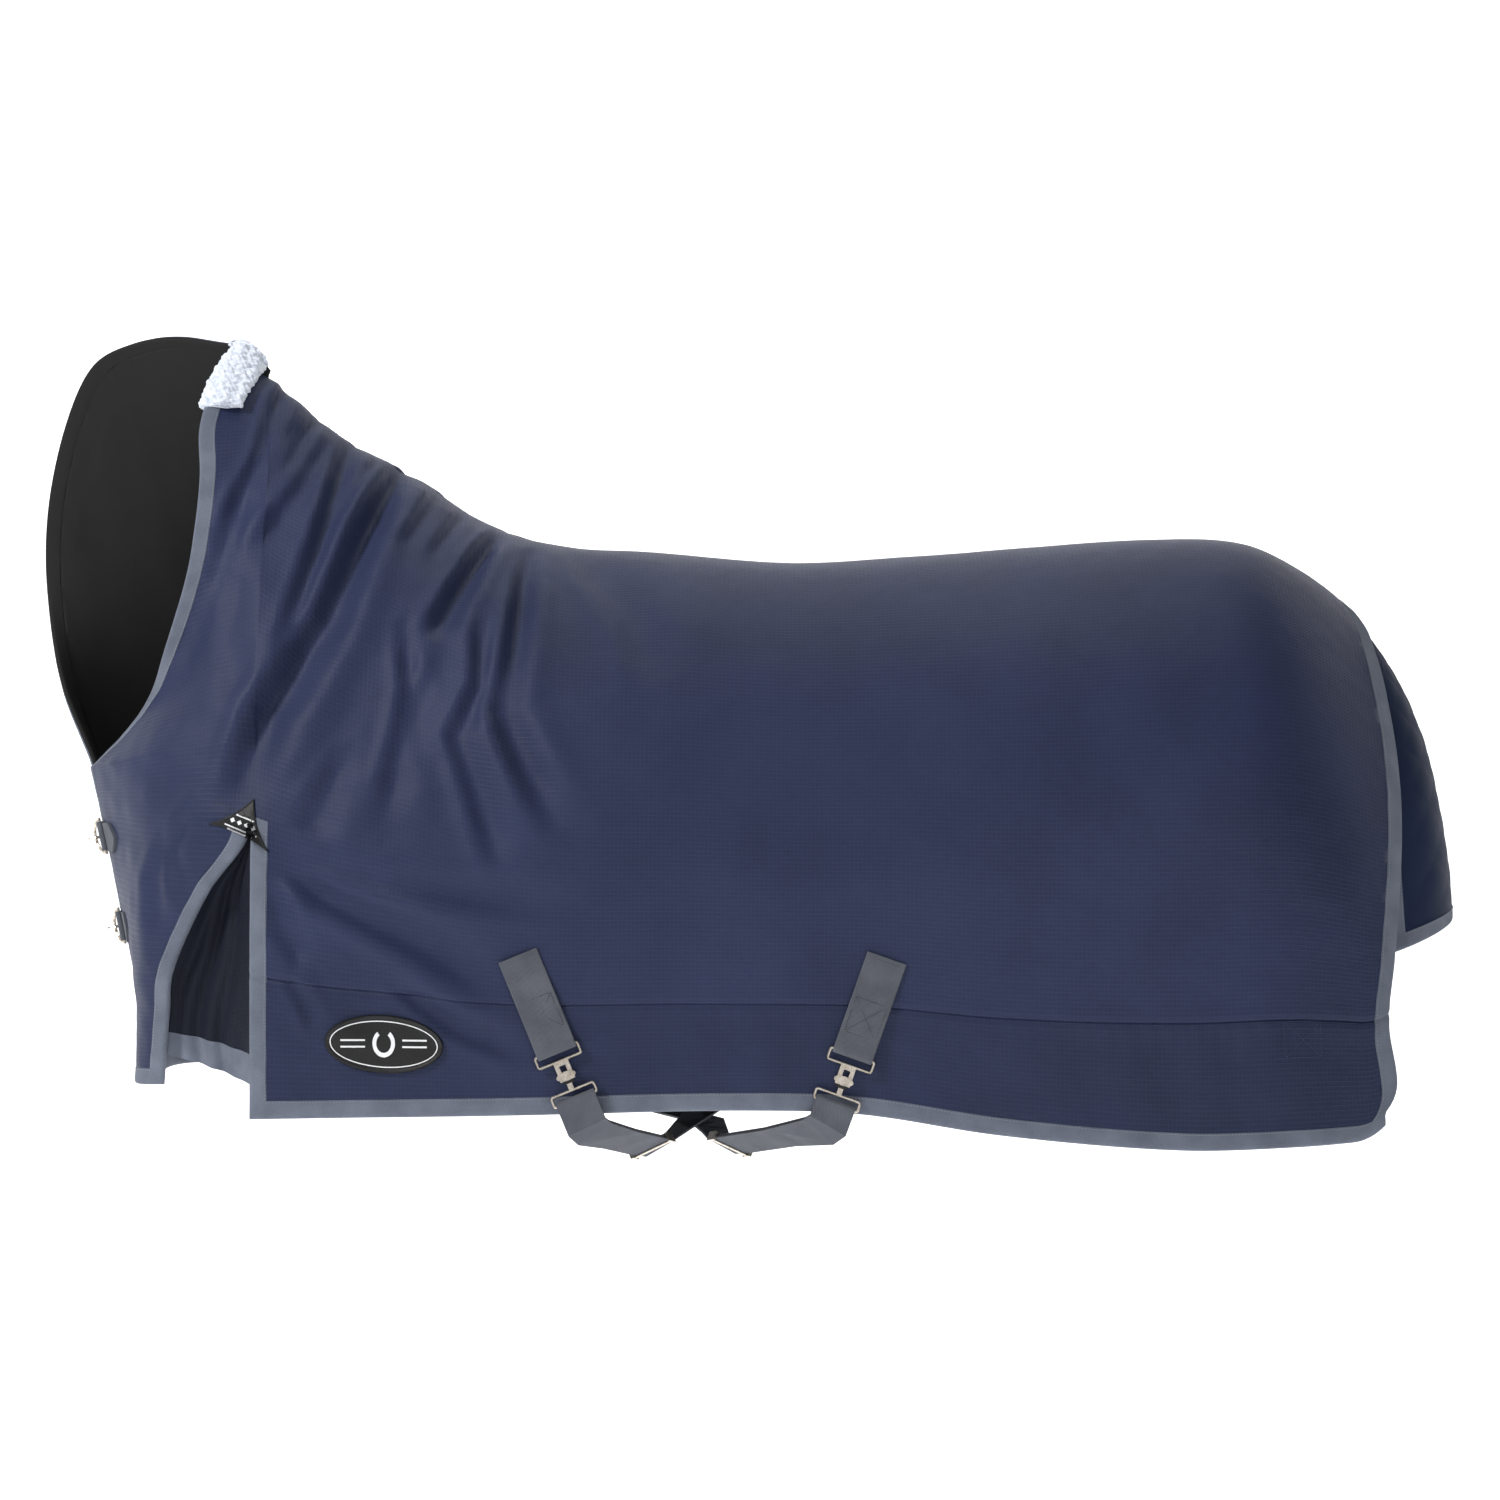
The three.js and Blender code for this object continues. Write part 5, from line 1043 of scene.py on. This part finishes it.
# A roll of fleece folded over the neck edge: distance in from the edge, then height off the outside.
FLEECE_SECTION = smooth_path(np.array([
    [45, 1.6, 0], [47, 5, 0], [40, 9, 0], [27, 10.5, 0], [13, 10, 0], [2, 7, 0], [-5, 1, 0], [-6.5, -5, 0],
    [-3, -12, 0], [7, -16, 0], [17, -16.5, 0], [25, -13, 0], [24, -10.6, 0], [10, -10.8, 0], [0, -9, 0],
    [-2.4, -5, 0], [-1.5, -0.5, 0], [4, 1.6, 0], [20, 1.5, 0], [38, 1.5, 0], [44.5, 1.5, 0],
]), 118)[:, :2]


def edge_frames(rows):
    """Points and axes along the neck edge, from the left side over the crest to the right."""
    out = []
    for side, r in rows:
        r = np.array([r])
        end = front_point(side, np.array([1.0]), r)[0]
        back = front_point(side, np.array([0.88]), r)[0]
        inward = (back - end) / np.linalg.norm(back - end)
        out.append((end, inward))
    return out


steps_n = 92
neck_rows = [(-1, v) for v in np.linspace(1.62, 0.02, steps_n)] + [(1, v) for v in np.linspace(0.01, 0.1, 5)]
frames = edge_frames(neck_rows)
ends = np.array([f[0] for f in frames])
inwards = np.array([f[1] for f in frames])
path = smooth_path(np.concatenate([ends, inwards * 50], axis=1), 170)
ends, inwards = path[:, :3], path[:, 3:]
inwards /= np.linalg.norm(inwards, axis=1, keepdims=True)
along = np.gradient(ends, axis=0)
outs = np.cross(along, inwards)
outs /= np.linalg.norm(outs, axis=1, keepdims=True)
if (outs[0] * np.array([0, -1, 0.4])).sum() < 0:
    outs = -outs
tube = ends[:, None] + inwards[:, None] * FLEECE_SECTION[None, :, :1] + outs[:, None] * FLEECE_SECTION[None, :, 1:]
count, ring = tube.shape[:2]
shrink = np.clip(np.minimum(np.arange(count), count - 1 - np.arange(count)) / 4.0, 0.25, 1) ** 0.5
middle = tube.mean(axis=1, keepdims=True)
tube = middle + (tube - middle) * shrink[:, None, None]
fleece_quads = net_quads(count, ring, closed=True)
verts = tube.reshape(-1, 3)
normal = normals_of(verts, fleece_quads)
spread = verts - np.repeat(tube.mean(axis=1), ring, axis=0)
if (normal * spread).sum() < 0:
    fleece_quads = fleece_quads[:, ::-1]
    normal = -normal
outside = np.tile((FLEECE_SECTION[:, 1] > 2.5) | (FLEECE_SECTION[:, 0] < -3.5) | (FLEECE_SECTION[:, 1] < -11.5), count)
tuft = 1.5 * smooth_noise(verts, 15, 31) + 1.1 * smooth_noise(verts, 7.5, 32) + 0.6 * smooth_noise(verts, 4.2, 33)
verts = verts + normal * np.where(outside, tuft + 0.4, 0)[:, None]
caps = [tuple(range(ring))[::-1], tuple((count - 1) * ring + k for k in range(ring))]
fleece = make_mesh("fleece_roll", verts, [*map(tuple, fleece_quads), *caps], slots=([FLEECE],), sharp=180)
settle(fleece, "fleece", "poll_fleece")

# ---- Patches over the slits and the side badge -------------------------------------------------------------------


def outward_mesh(name, verts, faces, material):
    """A closed mesh whose faces are all turned outward."""
    obj = make_mesh(name, verts, faces, slots=([material],), sharp=40)
    bm = bmesh.new()
    bm.from_mesh(obj.data)
    bmesh.ops.recalc_face_normals(bm, faces=bm.faces)
    bm.to_mesh(obj.data)
    bm.free()
    return obj


def drape(side, shape, height, name, material, slot, *nodes, thickness=1.8):
    """A plate laid on one side of the rug: rings of points in x, z, with the height of its outside at each."""
    count, ring = shape.shape[:2]
    ground = np.zeros((count, ring, 3))
    for m in range(count):
        for k in range(ring):
            hit, _ = on_side(side, *shape[m, k])
            ground[m, k] = hit if hit is not None else (shape[m, k][0], side * 300, shape[m, k][1])
    out = np.array([0, side, 0])
    top = ground + out * np.asarray(height)[..., None]
    bottom = ground + out * (np.asarray(height)[..., None] - thickness)
    quads = net_quads(count, ring, closed=True)
    size = count * ring
    first = (top[0, 0] + top[0, ring // 2]) / 2
    verts = np.concatenate([top.reshape(-1, 3), bottom.reshape(-1, 3), [first, first - out * thickness]])
    k = np.arange(ring)
    nxt = (k + 1) % ring
    hub = [(2 * size, int(a), int(b)) for a, b in zip(k, nxt)]
    hub_low = [(2 * size + 1, int(b) + size, int(a) + size) for a, b in zip(k, nxt)]
    rim = (count - 1) * ring
    walls = [(rim + int(a), rim + int(a) + size, rim + int(b) + size, rim + int(b)) for a, b in zip(k, nxt)]
    faces = [*map(tuple, quads), *[tuple(q[::-1] + size) for q in quads], *hub, *hub_low, *walls]
    return settle(outward_mesh(name, verts, faces, material), slot, *nodes)


def rings(outline, centre, shares):
    """Rings between a centre and an outline, both in x, z."""
    outline, centre = np.asarray(outline, float), np.asarray(centre, float)
    return centre + (outline - centre)[None] * np.asarray(shares)[:, None, None]


def concave_triangle(corners, sag, count=36):
    out = []
    for k in range(3):
        a, b = np.array(corners[k], float), np.array(corners[(k + 1) % 3], float)
        side = b - a
        inward = np.array([-side[1], side[0]])
        middle = np.mean(corners, axis=0)
        if inward @ (middle - a) < 0:
            inward = -inward
        for t in np.arange(count) / count:
            out.append(a + side * t + inward * sag * math.sin(math.pi * t))
    return out


CORNERS = [(-610, -291), (-668, -322), (-589, -357)]
MARK_CENTRE = np.array([-623.0, -323.0])
MARK_LIFT = np.full((2, 4), 2.3)
patch_thread = Thread()
for side, name in SIDES:
    outline = concave_triangle(CORNERS, 0.07)
    shares = [0.1, 0.3, 0.5, 0.7, 0.84, 0.92, 0.95, 1.0]
    lift = np.array([1.9, 1.9, 1.9, 1.9, 1.9, 1.9, 2.6, 2.2])[:, None] + np.zeros((1, len(outline)))
    drape(side, rings(outline, MARK_CENTRE, shares), lift, f"{name}_patch", PATCH, "patch", f"{name}_slit_patch",
          thickness=1.5)
    slope = np.array([0.93, -0.36])
    up = np.array([0.36, 0.93])
    for k in range(4):
        c = MARK_CENTRE + slope * (k - 1.5) * 9.5 + up * 1
        diamond = [c + slope * 3.4 * math.cos(t) + up * 3.4 * math.sin(t) for t in np.arange(4) * math.pi / 2]
        drape(side, rings(diamond, c, [0.3, 1.0]), MARK_LIFT, f"{name}_patch_mark_{k}", PRINT, "patch", thickness=0.5)
    for k, (off, half) in enumerate([(9, 12), (-7, 22), (-11, 17)]):
        c = MARK_CENTRE + up * off
        bar = [c + slope * half * a + up * 0.9 * b for a, b in ((-1, -1), (1, -1), (1, 1), (-1, 1))]
        drape(side, rings(bar, c, [0.3, 1.0]), MARK_LIFT, f"{name}_patch_bar_{k}", PRINT, "patch", thickness=0.5)
    line = []
    for p in rings(outline, MARK_CENTRE, [0.9])[0]:
        hit, _ = on_side(side, *p)
        if hit is not None:
            line.append(hit + np.array([0, side * 2.0, 0]))
    patch_thread.row(line + line[:1], [(0, side, 0)] * (len(line) + 1), pitch=3.2, length=2.2, radius=0.32)

BADGE = np.array([-445.6, -589.0])
TILT = math.radians(-3)


def oval(a, b, count=96, centre=BADGE):
    out = []
    for t in np.arange(count) * 2 * math.pi / count:
        x, z = a * math.cos(t), b * math.sin(t)
        turned = x * math.cos(TILT) - z * math.sin(TILT), x * math.sin(TILT) + z * math.cos(TILT)
        out.append((centre[0] + turned[0], centre[1] + turned[1]))
    return np.array(out)


badge_rings = np.array([oval(73 * s, 35.5 * s) if s < 0.9 else oval(73 - (1 - s) * 73, 35.5 - (1 - s) * 73)
                        for s in (0.08, 0.3, 0.5, 0.7, 0.86, 0.93, 0.955, 0.985, 1.0)])
badge_lift = np.array([3.0, 3.0, 3.0, 3.0, 3.0, 3.0, 4.3, 4.1, 2.2])[:, None] + np.zeros((1, 96))
drape(-1, badge_rings, badge_lift, "badge", PATCH, "patch", "side_badge", thickness=2.0)


def inlay(name, outer_line, inner_line, height=3.5, closed=True):
    """A thin white band between two lines in x, z."""
    lines = [outer_line, inner_line]
    spots = np.array([[on_side(-1, *p)[0] + np.array([0, -height, 0]) for p in line] for line in lines])
    n = spots.shape[1]
    low = spots + np.array([0, 0.7, 0])
    verts = np.concatenate([spots.reshape(-1, 3), low.reshape(-1, 3)])
    faces = []
    for k in range(n if closed else n - 1):
        m = (k + 1) % n
        faces += [(k, m, n + m, n + k), (2 * n + m, 2 * n + k, 3 * n + k, 3 * n + m),
                  (m, k, 2 * n + k, 2 * n + m), (n + k, n + m, 3 * n + m, 3 * n + k)]
    if not closed:
        faces += [(0, n, 3 * n, 2 * n), (2 * n - 1, n - 1, 3 * n - 1, 4 * n - 1)]
    return settle(outward_mesh(name, verts, faces, PRINT), "patch")


inlay("badge_line", oval(66.5, 28.5), oval(65.2, 27.2))


def arc_line(radius, start, end, count=40, squash=1.0):
    turn = np.radians(np.linspace(start, end, count))
    return np.stack([BADGE[0] + radius * np.cos(turn) * squash, BADGE[1] + 1 + radius * np.sin(turn)], -1)


# A plain horseshoe with a bar to each side.
inlay("badge_shoe", arc_line(17, -235, 55, squash=0.82), arc_line(11.5, -238, 58, squash=0.8), closed=False)
for k, x in enumerate((-38, 38)):
    for m, z in enumerate((-5, 3)):
        top = np.array([(BADGE[0] + x + d, BADGE[1] + z + 3) for d in np.linspace(-15, 15, 9)])
        inlay(f"badge_bar_{k}_{m}", top, top - np.array([0, 2.2]), closed=False)

# ---- Surcingle tabs ----------------------------------------------------------------------------------------------

box_thread = Thread()


def box_stitch(side, corners, height, thread, inset=0.0):
    """A square of stitches with a cross in it, laid on one side of the rug."""
    c = [np.array(p, float) for p in corners]
    for a, b in ((0, 1), (1, 2), (2, 3), (3, 0), (0, 2), (1, 3)):
        spots = []
        for t in np.linspace(0, 1, 14):
            hit, _ = on_side(side, *(c[a] + (c[b] - c[a]) * t))
            spots.append(hit + np.array([0, side * height, 0]))
        thread.row(spots, [(0, side, 0)] * 14, pitch=3.4, length=2.5, radius=0.4)


TAB_LENGTH, TAB_WIDTH = 124.0, 50.0
STITCH_HEIGHT = 6.0  # of the tab's upper face off the cloth
for name, top, lean in (("front", (-282, -480), 22.5), ("rear", (166, -483), -19.5)):
    turn = math.radians(lean)
    way = np.array([math.sin(turn), -math.cos(turn)])
    across = np.array([math.cos(turn), 0, math.sin(turn)])
    wire_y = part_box(f"{name}_surcingle_tab")[0].y * 1000 + 5.5

    def seat(s, height):
        spots = [on_side(-1, *(np.array(top) + way * s + across[[0, 2]] * e))[0] for e in (-22, 0, 22)]
        y = min(p[1] for p in spots)
        return np.array([top[0] + way[0] * s, y - height, top[1] + way[1] * s])

    hub = np.array([top[0] + way[0] * TAB_LENGTH, wire_y, top[1] + way[1] * TAB_LENGTH])
    fold_in = np.array([way[0], 0, way[1]])
    face_out = np.array([0, -1, 0])
    loop = [hub + 3.7 * (math.sin(t) * fold_in + math.cos(t) * face_out) for t in np.linspace(0, math.pi, 9)]
    over = [seat(s, h) for s, h in ((0, 1.7), (12, 1.7), (34, 1.8), (50, 3.6), (70, 4.4), (96, 4.5))]
    path = [*over, *loop, seat(96, 1.5), seat(60, 1.4)]
    tab = webbing(f"{name}_tab", path, across, TAB_WIDTH, 2.4, WEBBING)
    settle(tab, "webbing", f"{name}_surcingle_tab")
    corners = [np.array(top) + way * s + across[[0, 2]] * e for s, e in ((56, -20), (56, 20), (100, 20), (100, -20))]
    box_stitch(-1, corners, STITCH_HEIGHT, box_thread)
    end = [np.array(top) + way * 5 + across[[0, 2]] * e for e in (-21, 21)]
    spots = [on_side(-1, *(end[0] + (end[1] - end[0]) * t))[0] + np.array([0, -3.1, 0]) for t in np.linspace(0, 1, 8)]
    box_thread.row(spots, [(0, -1, 0)] * 8, pitch=3.4, length=2.5, radius=0.4)

# The leg strap's tab is sewn inside: its box of stitches shows outside, on both sides.
leg_thread = Thread()
for side, _ in SIDES:
    box_stitch(side, [(650, -562), (698, -562), (699, -606), (653, -606)], 0.15, leg_thread)

# ---- Stitching and the finish of the CAD's own webbing and fittings -----------------------------------------------

tape_thread.made("tape_stitching", THREAD_GREY, "binding")
navy_thread.made("hem_stitching", THREAD_NAVY, "outer")
patch_thread.made("patch_stitching", THREAD_DARK, "patch")
box_thread.made("tab_stitching", THREAD_DARK, "webbing")
leg_thread.made("leg_strap_stitching", THREAD_NAVY, "outer")

for obj in CAD_MESHES:
    if obj.hide_render:
        continue
    soft = obj.name.endswith(("_tab", "_strap", "_cord_loop", "_seam", "_tab_left", "_tab_right"))
    obj.data.materials.clear()
    obj.data.materials.append(PLAIN_WEBBING if soft else RUBBER if "washer" in obj.name else NICKEL)
    obj.data.polygons.foreach_set("use_smooth", np.ones(len(obj.data.polygons), bool))
    obj.data.set_sharp_from_angle(angle=math.radians(38))
    rounded = obj.modifiers.new("rounded", "BEVEL")
    rounded.width = 0.0006 if soft else 0.0003
    rounded.segments = 2
    rounded.limit_method = "ANGLE"
    rounded.angle_limit = math.radians(35)

# ---- Light, floor and camera -------------------------------------------------------------------------------------

scene = bpy.context.scene


def flat_material(name, color):
    n = Nodes(name)
    tone = n.noise(n.place(), 0.8, 2.0)
    n.put(n.shader.inputs["Emission Color"], n.ramp(tone, [(0.3, (0.99, 0.99, 0.99)), (0.7, (1, 1, 1))]))
    return n.finish(n.ramp(tone, [(0.3, color), (0.7, tuple(c * 1.01 for c in color))]), 0.95, None,
                    Specular_IOR_Level=0.0, Emission_Strength=0.96)


FLOOR = -1.45


def sweep():
    """A floor that curves up into a wall behind the rug."""
    profile = [(-9, FLOOR), (4.0, FLOOR)]
    profile += [(4.0 + 3 * math.sin(t), FLOOR + 3 - 3 * math.cos(t)) for t in np.linspace(0.05, math.pi / 2, 16)]
    profile += [(7.0, 9.0)]
    verts = [(x, y, z) for y, z in profile for x in (-14, 14)]
    faces = [(2 * k, 2 * k + 1, 2 * k + 3, 2 * k + 2) for k in range(len(profile) - 1)]
    obj = make_mesh("studio_floor", verts, faces, slots=([flat_material("studio_paper", (0.86, 0.86, 0.86))],),
                    millimetres=False)


sweep()


def lamp(name, at, target, size, power, color=(1, 1, 1)):
    data = bpy.data.lights.new(name, "AREA")
    data.shape = "RECTANGLE"
    data.size, data.size_y = size
    data.energy = power
    data.color = color
    obj = bpy.data.objects.new(name, data)
    obj.location = at
    obj.rotation_euler = (Vector(target) - Vector(at)).to_track_quat("-Z", "Y").to_euler()
    scene.collection.objects.link(obj)


lamp("key", (-3.0, -1.9, 1.9), (-0.1, -0.2, -0.25), (0.8, 0.8), 125)
lamp("fill", (1.2, -4.2, 0.7), (0.2, 0, -0.4), (1.6, 1.6), 34)
lamp("top", (0.2, 0.3, 3.2), (0, 0, 0), (3.0, 1.5), 60)

world = bpy.data.worlds.new("studio")
scene.world = world
world.use_nodes = True
world.node_tree.nodes["Background"].inputs[0].default_value = (1, 1, 1, 1)
world.node_tree.nodes["Background"].inputs[1].default_value = 0.06

camera_data = bpy.data.cameras.new("camera")
camera_data.sensor_width = 36
camera_data.lens = 36 * 5000 / 1950
camera = bpy.data.objects.new("camera", camera_data)
camera.location = (0, -5.0, -0.231 - LINING_HEIGHT / 1000)
camera.rotation_euler = (math.pi / 2, 0, 0)
scene.collection.objects.link(camera)
scene.camera = camera

scene.view_settings.view_transform = "Standard"
scene.view_settings.look = "None"
scene.view_settings.exposure = 0.0
scene.view_settings.gamma = 1.0
